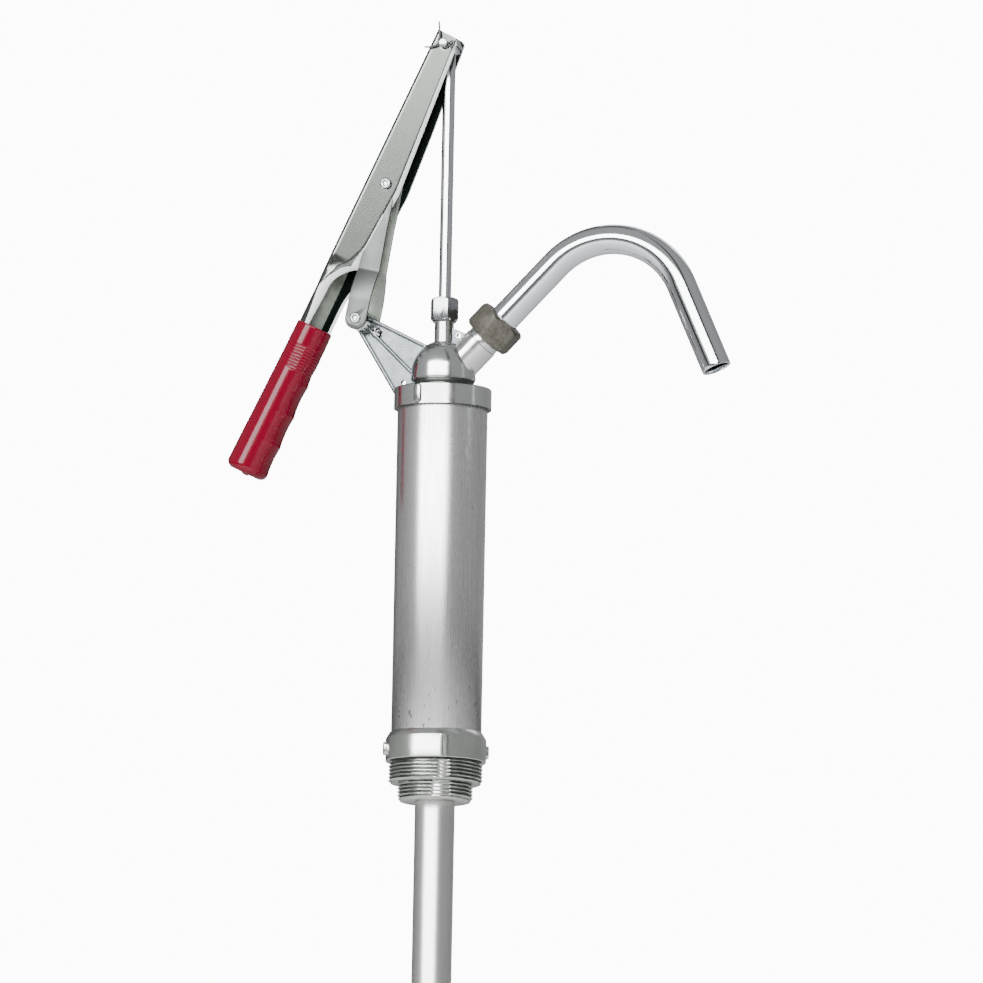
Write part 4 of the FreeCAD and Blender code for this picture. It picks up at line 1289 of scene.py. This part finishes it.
@dataclass
class Spout(Assembly):
    """Union nut and the bent spout tube."""

    head: PumpHead
    outer: float = 9.5 * MM
    inner: float = 7.75 * MM
    foot: float = 48.5 * MM
    straight: float = 104.0 * MM
    bend_radius: float = 51.5 * MM
    bend: float = math.radians(111)
    drop: float = 59.5 * MM
    nut_low: float = 39.3 * MM
    nut_length: float = 17.0 * MM
    nut_corner: float = 16.9 * MM
    nut_turn: float = math.radians(35)
    columns: int = 144

    def centre(self, run: float) -> tuple[Vector, float]:
        """Return the point of the tube's centre line at a run, and its turn about Y.

        Args:
            run: Length along the centre line from the stub's origin.

        Returns:
            The point in the stub's own frame, and the angle turned so far in radians.
        """
        if run <= self.straight:
            return Vector((0, 0, run)), 0.0
        rest = max(0.0, run - self.straight - self.bend * self.bend_radius)
        angle = min((run - self.straight) / self.bend_radius, self.bend)
        corner = Vector((self.bend_radius * (1 - math.cos(angle)), 0,
                         self.straight + self.bend_radius * math.sin(angle)))
        return corner + rest * Vector((math.sin(self.bend), 0, math.cos(self.bend))), angle

    def build(self) -> None:
        """Build the spout tube and its union nut."""
        length = self.straight + self.bend * self.bend_radius + self.drop
        rim = 0.35 * MM
        outside = [(self.outer, mix(self.foot, length - rim, step / 130)) for step in range(131)]
        outside[0:0] = [(self.outer - rim, self.foot - rim)]
        outside += [(self.outer - rim * 0.3, length - rim * 0.3), (self.outer - rim, length),
                    (self.inner + rim, length), (self.inner + rim * 0.3, length - rim * 0.3)]
        inside = [(self.inner, mix(length - rim, self.foot, step / 60)) for step in range(61)]
        rows = outside + inside + [outside[0]]
        count = len(rows) - 1

        def place(across: float, along: float) -> Vector:
            """Place one point of the bent tube's wall."""
            radius, run = rows[round(along * count)]
            point, turn = self.centre(run)
            angle = across * TURN
            ring = Vector((radius * math.cos(angle) * math.cos(turn), radius * math.sin(angle),
                           -radius * math.cos(angle) * math.sin(turn)))
            return point + ring

        tube = form_sheet("spout_pipe", self.columns, count, place)
        settle(tube, self.head.to_stub())
        shade(tube, 40)
        self.fit(tube, "polished_chrome", "chrome", "spout_tube")
        nut = hex_nut("union_hex", self.nut_corner, self.nut_low, self.nut_low + self.nut_length,
                      self.outer + 0.1 * MM, self.nut_turn, 0.45)
        hollow = lathe("union_hollow", [(0, self.nut_low - MM), (10.95 * MM, self.nut_low - MM),
                                        (10.95 * MM, 51.6 * MM), (0, 51.6 * MM)], 64)
        combine(nut, hollow, Cut.TAKE_AWAY)
        settle(shade(nut, 28), self.head.to_stub())
        self.fit(nut, "sandy_union_metal", "union_metal", "union_nut", body="pump_body")


@dataclass
class RodAssembly(Assembly):
    """Piston rod with its cross eye; the piston stays as it is in the CAD."""

    radius: float = 4.0 * MM
    eye_radius: float = 6.5 * MM
    eye_half: float = 6.0 * MM

    def build(self) -> None:
        """Build the rod and stand it in for its node."""
        low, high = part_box("piston_rod")
        eye = high[2] - self.eye_radius
        start = low[2] + 0.6 * MM
        sides = [(self.radius, mix(start, eye, step / 12)) for step in range(13)]
        rod = lathe("rod_bar", [(0, low[2]), (self.radius - 0.6 * MM, low[2]), *sides, (0, eye)],
                    64)
        boss = cross_bar("rod_eye", self.eye_radius, -self.eye_half, self.eye_half, (0, eye))
        combine(rod, boss, Cut.JOIN)
        hole = cross_bar("rod_eye_hole", 3.1 * MM, -10 * MM, 10 * MM, (0, eye))
        combine(rod, hole, Cut.TAKE_AWAY)
        round_edges(rod, 0.4 * MM, 2, 40)
        self.fit(rod, "polished_chrome", "chrome", "piston_rod")


@dataclass
class Lever(Assembly):
    """Pressed lever that closes from a channel into an open tube, its grip and its pins."""

    angle: float = math.radians(25.85)
    top: float = 6.5 * MM
    half: float = 10.3 * MM
    wall: float = 1.8 * MM
    web: float = -9.1 * MM
    corner: float = 3.0 * MM
    tube_radius: float = 10.8 * MM
    gap_near: float = math.radians(-98)
    gap_far: float = math.radians(11)
    end: float = 298.0 * MM
    edges: tuple[Point, ...] = ((-6.5 * MM, 6.9 * MM), (98.5 * MM, 14.9 * MM),
                                (151.5 * MM, 11.9 * MM), (300 * MM, 10.6 * MM))
    arch_start: float = 154 * MM
    arch_length: float = 19 * MM
    arch_power: float = 1.6
    corner_round: float = 6 * MM
    rear_trim: float = 1.5 * MM
    flange_lean: float = math.tan(math.radians(6.0))
    grip_top: float = 198.3 * MM
    grip_end: float = 301.5 * MM
    grip_radii: Point = (11.85 * MM, 13.95 * MM)
    link_pin: Point = (4.8 * MM, -96.48 * MM)
    pivot_height: float = field(init=False)

    def __post_init__(self) -> None:
        """Find the lever's pivot from the rod's eye."""
        self.pivot_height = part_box("piston_rod")[1][2] - 6.5 * MM

    def place(self) -> Matrix:
        """Return the matrix from the lever's own frame to the pump's."""
        return (Matrix.Translation((0, 0, self.pivot_height))
                @ Matrix.Rotation(self.angle, 4, "Y"))

    def world(self, x: float, z: float) -> Point:
        """Return where a point of the lever's own XZ plane lies on the pump.

        Args:
            x: X in the lever's own plane.
            z: Z in the lever's own plane.

        Returns:
            The (x, z) point on the pump.
        """
        point = self.place() @ Vector((x, 0, z))
        return point.x, point.z

    def build(self) -> None:
        """Build the pressing, the grip, the clevis pin, the split pin and the rivet."""
        self._pressing()
        self._grip()
        self._clevis()
        self._split_pin()
        self._rivet()

    def edge(self, run: float) -> float:
        """Return the back flange's free edge at a distance below the pivot.

        Args:
            run: Distance below the pivot.

        Returns:
            The edge's X in the lever's own plane.
        """
        for (start, first), (finish, second) in zip(self.edges, self.edges[1:]):
            if run <= finish:
                return mix(first, second, (run - start) / (finish - start))
        return self.edges[-1][1]

    def near_edge(self, run: float) -> float:
        """Return the front flange's free edge, which is cut back in an arch above the stem.

        Args:
            run: Distance below the pivot.

        Returns:
            The edge's X in the lever's own plane.
        """
        edge, foot = self.edge(run), self.tube_radius * math.sin(self.gap_near + math.pi / 2)
        if run <= self.arch_start:
            return edge
        share = min((run - self.arch_start) / self.arch_length, 1.0)
        return mix(edge, foot, share ** (1 / self.arch_power))

    def channel_point(self, share: float, run: float) -> Point:
        """Return (x, y) on the channel's outer face, share of the way round from the front edge.

        Args:
            share: Share of the way round.
            run: Distance below the pivot.

        Returns:
            The (x, y) point.
        """
        corner = self.corner
        front = self.near_edge(run) - self.web - corner
        rear = self.edge(run) - self.web - corner
        arc, back = math.pi / 2 * corner, 2 * (self.half - corner)
        walk = share * (front + rear + 2 * arc + back)
        if walk <= front:
            return (self.web + corner + front - walk,
                    -self.half + self.flange_lean * (front - walk))
        walk -= front
        if walk <= arc:
            turn = walk / corner
            return (self.web + corner - corner * math.sin(turn),
                    -self.half + corner - corner * math.cos(turn))
        walk -= arc
        if walk <= back:
            return self.web, -self.half + corner + walk
        walk -= back
        if walk <= arc:
            turn = walk / corner
            return (self.web + corner - corner * math.cos(turn),
                    self.half - corner + corner * math.sin(turn))
        share = (walk - arc) / rear
        rear -= self.rear_trim * (1 - smooth_step(0, 60 * MM, run))
        return self.web + corner + share * rear, self.half

    def tube_point(self, share: float) -> Point:
        """Return (x, y) on the stem, share of the way round from the front edge of its gap.

        Args:
            share: Share of the way round.

        Returns:
            The (x, y) point.
        """
        turn = self.gap_near - share * (TURN - self.gap_far + self.gap_near)
        return self.tube_radius * math.cos(turn), self.tube_radius * math.sin(turn)

    @staticmethod
    def roll_width(run: float) -> float:
        """Return how wide the front flange's rolled rim is at a distance below the pivot.

        Args:
            run: Distance below the pivot.

        Returns:
            The width.
        """
        width = mix(2.2 * MM, 3.6 * MM, smooth_step(0, 145 * MM, run))
        width = mix(width, 8.0 * MM, smooth_step(135 * MM, 160 * MM, run))
        return mix(width, 3.0 * MM, smooth_step(172 * MM, 200 * MM, run))

    def lip(self, x: float, run: float) -> float:
        """Return how far the front flange is rolled in at a point near its free edge.

        Args:
            x: Place across the flange.
            run: Distance below the pivot.

        Returns:
            The depth of the roll in metres.
        """
        width = self.roll_width(run)
        across = max(self.near_edge(run) - x, 0.0)
        foot = self.tube_radius * math.sin(self.gap_near + math.pi / 2)
        edge = self.edge(self.arch_start)
        share = min(max((edge - x) / (edge - foot), 0.0), 1.0)
        down = self.arch_start + self.arch_length * share ** self.arch_power - run
        gap = across
        if 0 < down < 3 * width and x > foot:
            gap = across * down / math.hypot(across, down) if across > 0 else 0.0
        return 0.62 * width * max(0.0, 1 - gap / width) ** 2

    def run_at(self, along: float) -> float:
        """Spread the rows of the sheet, closest together round the arch.

        Args:
            along: Share of the rows, from 0 to 1.

        Returns:
            Distance below the pivot.
        """
        marks = ((0.0, -self.top), (0.05, 2 * MM), (0.25, 130 * MM), (0.8, 205 * MM),
                 (1.0, self.end))
        for (start, first), (finish, second) in zip(marks, marks[1:]):
            if along <= finish:
                return mix(first, second, (along - start) / (finish - start))
        return self.end

    def _pressing(self) -> None:
        """Form the lever from flat sheet, thicken it and drill it."""

        def place(across: float, along: float) -> Vector:
            """Place one point of the pressing."""
            run = self.run_at(along)
            flat, round_ = self.channel_point(across, run), self.tube_point(across)
            rolled = smooth_step(150 * MM, 182 * MM, run)
            x, y = mix(flat[0], round_[0], rolled), mix(flat[1], round_[1], rolled)
            if y < 0:
                y += self.lip(x, run)
            near = max(0.0, self.corner_round - (self.edge(run) - x)) / self.corner_round
            drop = self.corner_round * (1 - math.sqrt(max(0.0, 1 - near * near)))
            run += drop * (1 - smooth_step(0.0, 0.05, along))
            return Vector((x, y, -run))

        sheet = form_sheet("lever_pressing", 120, 260, place)
        # The inner shell goes to slot 1, painted deep shade, and the sheet's cut rims to slot 2, a
        # painted highlight.
        apply_modifier(sheet, "SOLIDIFY", thickness=self.wall, offset=self._inward(sheet),
                       use_even_offset=True, material_offset=1, material_offset_rim=2)
        clean(sheet)
        for x, z, radius in ((0, 0, 2.95 * MM), (*self.link_pin, 2.55 * MM)):
            combine(sheet, cross_bar("drill", radius, -20 * MM, 20 * MM, (x, z)), Cut.TAKE_AWAY)
        self._sort_faces(sheet)
        round_edges(sheet, 0.4 * MM, 2, 50)
        settle(sheet, self.place())
        self.fit(sheet, ("zinc_plated_sheet", "shadowed_inner_zinc", "painted_highlight_edge",
                         "painted_shade_inner_zinc"), "zinc_plate", "lever_channel")

    def _sort_faces(self, sheet: Object) -> None:
        """Give the rolled rim its painted-highlight slot and the stem's inner back wall its paler
        painted-shade slot.

        Args:
            sheet: The thickened pressing, still upright.
        """
        for face in sheet.data.polygons:
            x, y, run = face.center.x, face.center.y, -face.center.z
            if face.material_index == 0 and y < -2 * MM:
                if self.near_edge(run) - x < 0.7 * self.roll_width(run):
                    face.material_index = 2
            elif face.material_index == 1 and run > self.arch_start:
                if math.radians(82) < math.atan2(y, x) < math.radians(166):
                    face.material_index = 3

    @staticmethod
    def _inward(sheet: Object) -> float:
        """Return the offset that thickens an open sheet towards the lever's own axis.

        Args:
            sheet: The open sheet.

        Returns:
            -1 or 1, as the Solidify modifier counts it.
        """
        facing = sum(face.normal.x * face.center.x + face.normal.y * face.center.y
                     for face in sheet.data.polygons)
        return -1.0 if facing > 0 else 1.0

    def grip_radius(self, share: float, angle: float) -> float:
        """Return the grip's radius.

        Args:
            share: How far down the grip, from 0 to 1.
            angle: Angle from the pump side, in radians, from -pi to pi.

        Returns:
            The radius in metres.
        """
        radius = mix(*self.grip_radii, share)
        facing = max(0.0, math.cos(angle)) ** 3.5
        length = self.grip_end - self.grip_top
        scallop = abs(math.sin((share - 0.36) * length / (21 * MM) * math.pi))
        hollow = smooth_step(0.20, 0.32, share) * (1 - smooth_step(0.97, 1.0, share))
        radius -= 1.2 * MM * scallop ** 0.8 * facing * hollow
        ribbed = smooth_step(0.13, 0.14, share) * (1 - smooth_step(0.29, 0.30, share))
        back = smooth_step(0.15, 0.55, -math.cos(angle))
        ribbed = max(ribbed, back * smooth_step(0.13, 0.14, share)
                     * (1 - smooth_step(0.70, 0.71, share)))
        pitch = 2.05 * MM / length
        groove = smooth_step(0.35, 0.9, abs((share / pitch) % 1.0 - 0.5) * 2)
        return radius - 0.24 * MM * groove * ribbed

    def _grip(self) -> None:
        """Form the grip: finger waves on the pump side, ribs, a closed rounded end."""
        length = self.grip_end - self.grip_top
        inner = self.tube_radius + 0.05 * MM
        rows = [(inner, 0.0, False), (0.0, 0.0, True)]
        rows += [(0.0, share / 330, True) for share in range(1, 316)]
        cap = [(turn / 12 * math.pi / 2) for turn in range(1, 13)]
        bulge, start = 4.8 * MM, 315 / 330
        for turn in cap:
            rows.append((-bulge * (1 - math.cos(turn)), start + (1 - start) * math.sin(turn), True))
        rows += [(2.4 * MM, 1.0, False), (1.9 * MM, 1.0 + 0.8 * MM / length, False),
                 (0.0, 1.0 + 1.0 * MM / length, False)]
        count = len(rows) - 1

        def place(across: float, along: float) -> Vector:
            """Place one point of the sleeve."""
            angle = across * TURN
            radius, share, shaped = rows[round(along * count)]
            if shaped:
                radius += self.grip_radius(min(share, start), angle)
                radius -= 0.5 * MM * (1 - smooth_step(0, 0.6 * MM / length, share))
            return Vector((radius * math.cos(angle), -radius * math.sin(angle),
                           -self.grip_top - share * length))

        grip = form_sheet("grip_sleeve", 128, count, place)
        self._close_bore(grip, inner)
        clean(grip)
        shade(grip, 60)
        settle(grip, self.place())
        self.fit(grip, "crimson_vinyl", "grip_vinyl", "handle_grip")

    def _close_bore(self, grip: Object, inner: float) -> None:
        """Extrude the grip's open mouth inwards and close it, for the tube's socket.

        Args:
            grip: The open sleeve.
            inner: Radius of the tube's socket.
        """
        for vertex in grip.data.vertices:
            rim = abs(vertex.co.z + self.grip_top) < 1e-6
            vertex.select = rim and math.hypot(vertex.co.x, vertex.co.y) < inner + 1e-5
        pick(grip)
        bpy.ops.object.mode_set(mode="EDIT")
        bpy.ops.mesh.select_mode(type="VERT")
        bpy.ops.mesh.extrude_region_move(
            TRANSFORM_OT_translate={"value": (0, 0, -(self.end - self.grip_top) - 0.3 * MM)})
        bpy.ops.mesh.edge_face_add()
        bpy.ops.object.mode_set(mode="OBJECT")

    def _clevis(self) -> None:
        """Turn the clevis pin, with its head on the back."""
        low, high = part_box("clevis_pin")
        radius, head = 2.9 * MM, 4.8 * MM
        front, seat, back = -low[1], self.half, high[1]
        pin = lathe("clevis_turned", [
            (0, -front), (radius - 0.6 * MM, -front), (radius, -front + 0.6 * MM), (radius, seat),
            (head, seat), (head, back - 0.5 * MM), (head - 0.7 * MM, back), (0, back)], 48)
        turn = Matrix.Translation((0, 0, self.pivot_height)) @ Matrix.Rotation(-math.pi / 2, 4, "X")
        settle(pin, turn)
        lean = math.radians(-80)
        hole = lathe("split_hole", [(0, -8 * MM), (0.85 * MM, -8 * MM), (0.85 * MM, 8 * MM),
                                    (0, 8 * MM)], 24)
        settle(hole, Matrix.Translation((0, low[1] + 1.9 * MM, self.pivot_height))
               @ Matrix.Rotation(lean, 4, "Y"))
        combine(pin, hole, Cut.TAKE_AWAY)
        round_edges(pin, 0.12 * MM, 2, 35)
        self.fit(pin, "zinc_plated_turned", "zinc_plate", "clevis_pin")

    def _split_pin(self) -> None:
        """Bend the split pin: an eye on the pump side, two legs splayed on the other."""
        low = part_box("clevis_pin")[0]
        y = low[1] + 1.9 * MM
        turn = (Matrix.Translation((0, y, self.pivot_height))
                @ Matrix.Rotation(math.radians(-80), 4, "Y"))

        def bend(points: Sequence[Point], lift: float) -> list[Vector]:
            """Put a leg's (x, z) points on the turned pin."""
            return [turn @ Vector((x * MM, lift, z * MM)) for x, z in points]

        wires = [
            bent_wire("split_leg_up", bend([(0.35, -3.2), (0.35, 0), (0.35, 2.9), (0.9, 3.7),
                                            (3.2, 3.2), (8.0, 4.2), (13.2, 5.8)], 0), 0.62 * MM),
            bent_wire("split_leg_down", bend([(-0.35, -3.2), (-0.35, 0), (-0.35, 2.9), (-1.7, 3.9),
                                              (-2.9, 5.6), (-4.0, 8.4), (-4.3, 12.2)], 0),
                      0.62 * MM),
            bent_wire("split_eye", bend([(0.35, -2.8), (0.5, -3.6), (1.7, -4.6), (1.6, -6.4),
                                         (0, -7.2), (-1.6, -6.4), (-1.7, -4.6), (-0.5, -3.6),
                                         (-0.35, -2.8)], 0), 0.62 * MM)]
        pin = merge_pieces("split_pin_wire", wires)
        self.fit(pin, "dark_steel_wire", "steel_wire", "split_pin")

    def _rivet(self) -> None:
        """Make the tubular rivet that carries the link."""
        centre = self.world(*self.link_pin)
        reach = self.half - 0.05 * MM
        heads = [rivet("lever_rivet_head", centre, reach, side, 3.6 * MM, 1.2 * MM, 1.45 * MM)
                 for side in (-1, 1)]
        shank = cross_bar("lever_rivet_shank", 2.5 * MM, -reach, reach, centre)
        joined = merge_pieces("tubular_rivet", [shade(shank), *heads])
        self.fit(joined, "zinc_plated_turned", "zinc_plate", "lever_link_rivet")


@dataclass
class Link(Assembly):
    """Two joggled plates from the lever's rivet to the bracket's boss."""

    foot: Point = (-55.06 * MM, 284.0 * MM)
    head: Point = (-37.747 * MM, 370.781 * MM)
    half_width: float = 7.1 * MM
    thickness: float = 2.0 * MM
    foot_face: float = 12.0 * MM
    head_face: float = 6.0 * MM
    joggle: Point = (12.5 * MM, 33.0 * MM)

    def build(self) -> None:
        """Build both plates and the foot rivet."""
        for side, word in ((-1, "front"), (1, "back")):
            plate = self._plate(f"stamped_plate_{word}", side)
            self.fit(plate, ("brushed_link_zinc", "painted_shade_inner_zinc"), "zinc_plate",
                     f"link_plate_{word}")
            # Faces that look towards the other plate take painted shade.
            for face in plate.data.polygons:
                face.material_index = 1 if face.normal.y * side < -0.6 else 0
        heads = [self._foot_rivet(side) for side in (-1, 1)]
        joined = merge_pieces("foot_rivet_heads", heads)
        self.fit(joined, "zinc_plated_turned", "zinc_plate", "link_foot_rivet")

    def _plate(self, name: str, side: int) -> Object:
        """Stamp one plate: round ends, a joggle, and softened edges.

        Args:
            name: Name of the plate.
            side: -1 for the near plate, 1 for the far one.

        Returns:
            The plate.
        """
        span = Vector((self.head[0] - self.foot[0], self.head[1] - self.foot[1]))
        length, lean = span.length, math.atan2(span.x, span.y)
        outline: list[Point] = []
        ends = ((length, 0.0, 1), (0.0, math.pi, -1))
        for centre, start, _ in ends:
            for step in range(17):
                turn = start + math.pi * step / 16
                outline.append((self.half_width * math.cos(turn),
                                centre + self.half_width * math.sin(turn)))
        plate = slab(name, outline, self.thickness / 2)
        self._slice(plate, length)
        low, high = self.joggle
        for vertex in plate.data.vertices:
            x, y, z = vertex.co
            share = min(max((z - low) / (high - low), 0), 1)
            drift = mix(self.foot_face, self.head_face, share ** 1.6)
            narrow = 1 - 0.12 * smooth_step(30 * MM, 60 * MM, z)
            vertex.co = (x * narrow, y + side * (drift + self.thickness / 2), z)
        for height, radius in ((0.0, 2.55 * MM), (length, 2.55 * MM)):
            drill = cross_bar("drill", radius, -25 * MM, 25 * MM, (0, height))
            combine(plate, drill, Cut.TAKE_AWAY)
        clean(plate)
        round_edges(plate, 0.3 * MM, 2, 50)
        return settle(plate, Matrix.Translation((self.foot[0], 0, self.foot[1]))
                      @ Matrix.Rotation(lean, 4, "Y"))

    def _slice(self, plate: Object, length: float) -> None:
        """Cut lines across the plate so that it can be joggled.

        Args:
            plate: The flat plate.
            length: Its length between holes.
        """
        low, high = self.joggle
        heights = [low - 3 * MM, low - 1 * MM, *(mix(low, high, step / 14) for step in range(15))]
        heights += [high + 0.5 * MM, high + 1.2 * MM, 45 * MM, 60 * MM]
        pick(plate)
        bpy.ops.object.mode_set(mode="EDIT")
        for height in heights:
            if height < length:
                bpy.ops.mesh.select_all(action="SELECT")
                bpy.ops.mesh.bisect(plane_co=(0, 0, height), plane_no=(0, 0, 1))
        bpy.ops.object.mode_set(mode="OBJECT")

    def _foot_rivet(self, side: int) -> Object:
        """Make the rivet's head and shank in one plate's foot.

        Args:
            side: -1 for the near plate, 1 for the far one.

        Returns:
            The rivet.
        """
        face = self.foot_face + self.thickness
        head = rivet("foot_rivet_head", self.foot, face - 0.05 * MM, side, 3.6 * MM, 1.2 * MM,
                     1.45 * MM)
        ends = sorted((side * self.foot_face, side * face))
        shank = cross_bar("foot_rivet_shank", 2.5 * MM, *ends, self.foot)
        return merge_pieces("foot_rivet", [shade(shank), head])


# ------------------------------------------------------------------ studio

@dataclass
class Studio:
    """Floor, soft light, surroundings and the camera."""

    aim: tuple[float, float, float] = (0.0336, 0.0, 0.1722)
    distance: float = 8.0
    azimuth: float = math.radians(18)
    elevation: float = math.radians(-8.5)
    roll: float = math.radians(-1.1)
    lens: float = 463.3
    reach: float = 0.38

    def build(self, lowest: float) -> None:
        """Build the studio round the pump.

        Args:
            lowest: The lowest height of the pump at rest.
        """
        self._floor(lowest - self.reach - 0.22)
        self._world()
        self._lights()
        self._camera()

    def _floor(self, height: float) -> None:
        """Lay a plain pale floor below the fully extended suction tube.

        Args:
            height: Height of the floor.
        """
        clear_selection()
        bpy.ops.mesh.primitive_circle_add(vertices=128, radius=30, fill_type="NGON",
                                          location=(0, 0, height))
        floor = bpy.context.object
        floor.name = "studio_floor"
        material = bpy.data.materials.new("pale_floor")
        material.use_nodes = True
        shader = material.node_tree.nodes["Principled BSDF"]
        shader.inputs["Base Color"].default_value = (0.86, 0.86, 0.86, 1)
        shader.inputs["Roughness"].default_value = 0.9
        floor.data.materials.append(material)
        floor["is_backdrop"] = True

    def _world(self) -> None:
        """Surround the pump with an even grey that has darker bands, white to the camera."""
        world = bpy.data.worlds.new("soft_surround")
        bpy.context.scene.world = world
        world.use_nodes = True
        nodes, links = world.node_tree.nodes, world.node_tree.links
        place = nodes.new("ShaderNodeTexCoord")
        split = nodes.new("ShaderNodeSeparateXYZ")
        links.new(place.outputs["Generated"], split.inputs[0])
        turn = nodes.new("ShaderNodeMath")
        turn.operation = "ARCTAN2"
        links.new(split.outputs["X"], turn.inputs[0])
        flip = nodes.new("ShaderNodeMath")
        flip.operation = "MULTIPLY"
        flip.inputs[1].default_value = -1
        links.new(split.outputs["Y"], flip.inputs[0])
        links.new(flip.outputs[0], turn.inputs[1])
        share = nodes.new("ShaderNodeMapRange")
        share.inputs["From Min"].default_value = -math.pi
        share.inputs["From Max"].default_value = math.pi
        links.new(turn.outputs[0], share.inputs["Value"])
        ramp = nodes.new("ShaderNodeValToRGB")
        stops = ((-180, 0.34), (-135, 0.10), (-105, 0.32), (-60, 0.40), (30, 0.40), (35, 0.04),
                 (42, 0.04), (49, 0.34), (90, 0.36), (140, 0.30), (180, 0.34))
        elements = ramp.color_ramp.elements
        while len(elements) < len(stops):
            elements.new(0.5)
        for element, (angle, grey) in zip(elements, stops):
            element.position = (angle + 180) / 360
            element.color = (grey, grey * 1.01, grey * 1.02, 1)
        links.new(share.outputs[0], ramp.inputs["Fac"])
        rise = nodes.new("ShaderNodeMapRange")
        rise.inputs["From Min"].default_value = -1
        links.new(split.outputs["Z"], rise.inputs["Value"])
        band = nodes.new("ShaderNodeValToRGB")
        heights = ((-1.0, 1.0), (-0.15, 1.0), (-0.10, 0.06), (0.02, 0.06), (0.05, 1.0), (1.0, 1.0))
        while len(band.color_ramp.elements) < len(heights):
            band.color_ramp.elements.new(0.5)
        for element, (sine, grey) in zip(band.color_ramp.elements, heights):
            element.position = (sine + 1) / 2
            element.color = (grey, grey, grey, 1)
        links.new(rise.outputs[0], band.inputs["Fac"])
        shaded = nodes.new("ShaderNodeMix")
        shaded.data_type, shaded.blend_type = "RGBA", "MULTIPLY"
        shaded.inputs["Factor"].default_value = 1
        links.new(ramp.outputs["Color"], shaded.inputs["A"])
        links.new(band.outputs["Color"], shaded.inputs["B"])
        surround = nodes["Background"]
        links.new(shaded.outputs["Result"], surround.inputs["Color"])
        surround.inputs["Strength"].default_value = 1.0
        paper = nodes.new("ShaderNodeBackground")
        paper.inputs["Color"].default_value = (1, 1, 1, 1)
        paper.inputs["Strength"].default_value = 12.0
        path = nodes.new("ShaderNodeLightPath")
        choose = nodes.new("ShaderNodeMixShader")
        links.new(path.outputs["Is Camera Ray"], choose.inputs[0])
        links.new(surround.outputs[0], choose.inputs[1])
        links.new(paper.outputs[0], choose.inputs[2])
        links.new(choose.outputs[0], nodes["World Output"].inputs["Surface"])

    def _soft_box(self, name: str, azimuth: float, height: float, size: Point,
                  radiance: float, distance: float = 5.0) -> None:
        """Hang one soft box that faces the pump's axis.

        Args:
            name: Name of the light.
            azimuth: Where it hangs, in degrees from -Y towards +X.
            height: Height of its middle in metres.
            size: Width and height in metres.
            radiance: How bright its face is.
            distance: Its distance from the pump's axis in metres.
        """
        lamp = bpy.data.lights.new(name, "AREA")
        lamp.shape = "RECTANGLE"
        lamp.size, lamp.size_y = size
        lamp.energy = radiance * math.pi * size[0] * size[1]
        holder = bpy.data.objects.new(name, lamp)
        bpy.context.collection.objects.link(holder)
        side = math.radians(azimuth)
        place = Vector((math.sin(side) * distance, -math.cos(side) * distance, height))
        out = place - Vector((0, 0, 0.2))
        holder.location = place
        holder.rotation_mode = "QUATERNION"
        holder.rotation_quaternion = out.to_track_quat("Z", "Y")
        holder.visible_camera = False

    def _lights(self) -> None:
        """Hang the soft boxes."""
        self._soft_box("key_box", -3.5, 2.15, (7.1, 2.4), 12)
        self._soft_box("back_box", 180, 5.0, (5.0, 2.5), 1.5)

    def _camera(self) -> None:
        """Place the camera at the viewing angle."""
        camera = bpy.data.objects.new("camera", bpy.data.cameras.new("camera"))
        bpy.context.collection.objects.link(camera)
        camera.data.lens = self.lens
        camera.data.sensor_width = 36
        side, up = self.azimuth, self.elevation
        out = Vector((math.sin(side) * math.cos(up), -math.cos(side) * math.cos(up), math.sin(up)))
        camera.location = Vector(self.aim) + out * self.distance
        camera.rotation_mode = "QUATERNION"
        look = (-out).to_track_quat("-Z", "Y")
        camera.rotation_quaternion = look @ Matrix.Rotation(-self.roll, 3, "Z").to_quaternion()
        camera.data.clip_end = 100
        bpy.context.scene.camera = camera


def main(frame: dict, cad_box: Sequence[Vector]) -> None:
    """Build the pump and its studio.

    Args:
        cad_box: The CAD model's box.
    """
    logging.basicConfig(level=logging.INFO, format="%(name)s: %(message)s")
    palette = Palette()
    adapter = BungAdapter(palette, "pump_body")
    adapter.build()
    Cylinder(palette, "pump_body").build()
    SuctionTubes(palette, "pump_body").build()
    head = PumpHead(palette, "pump_body")
    head.build()
    Spout(palette, "spout", head).build()
    RodAssembly(palette, "rod").build()
    Lever(palette, "lever").build()
    Link(palette, "link").build()
    adapter.keep(frame, "black_rubber_seal", "base_gasket", "head_gasket", "tube_seal_ring",
                 "spout_gasket", "foot_valve_disc", "piston_cup")
    adapter.keep(frame, "zinc_plated_turned", "foot_valve_cage", "bracket_pivot_pin",
                 "piston_stop", "piston_washer", "piston_nut", "eye_washers", "link_spacer")
    adapter.keep(frame, "satin_cast_adapter", "foot_valve_seat", "piston_plate")
    adapter.keep(frame, "natural_acetal", "gland_packing", "piston_valve_disc")
    adapter.keep(frame, "polished_chrome", "spout_collar")
    Studio().build(cad_box[0][2])


if __name__ == "__main__":
    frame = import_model()
    main(frame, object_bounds())
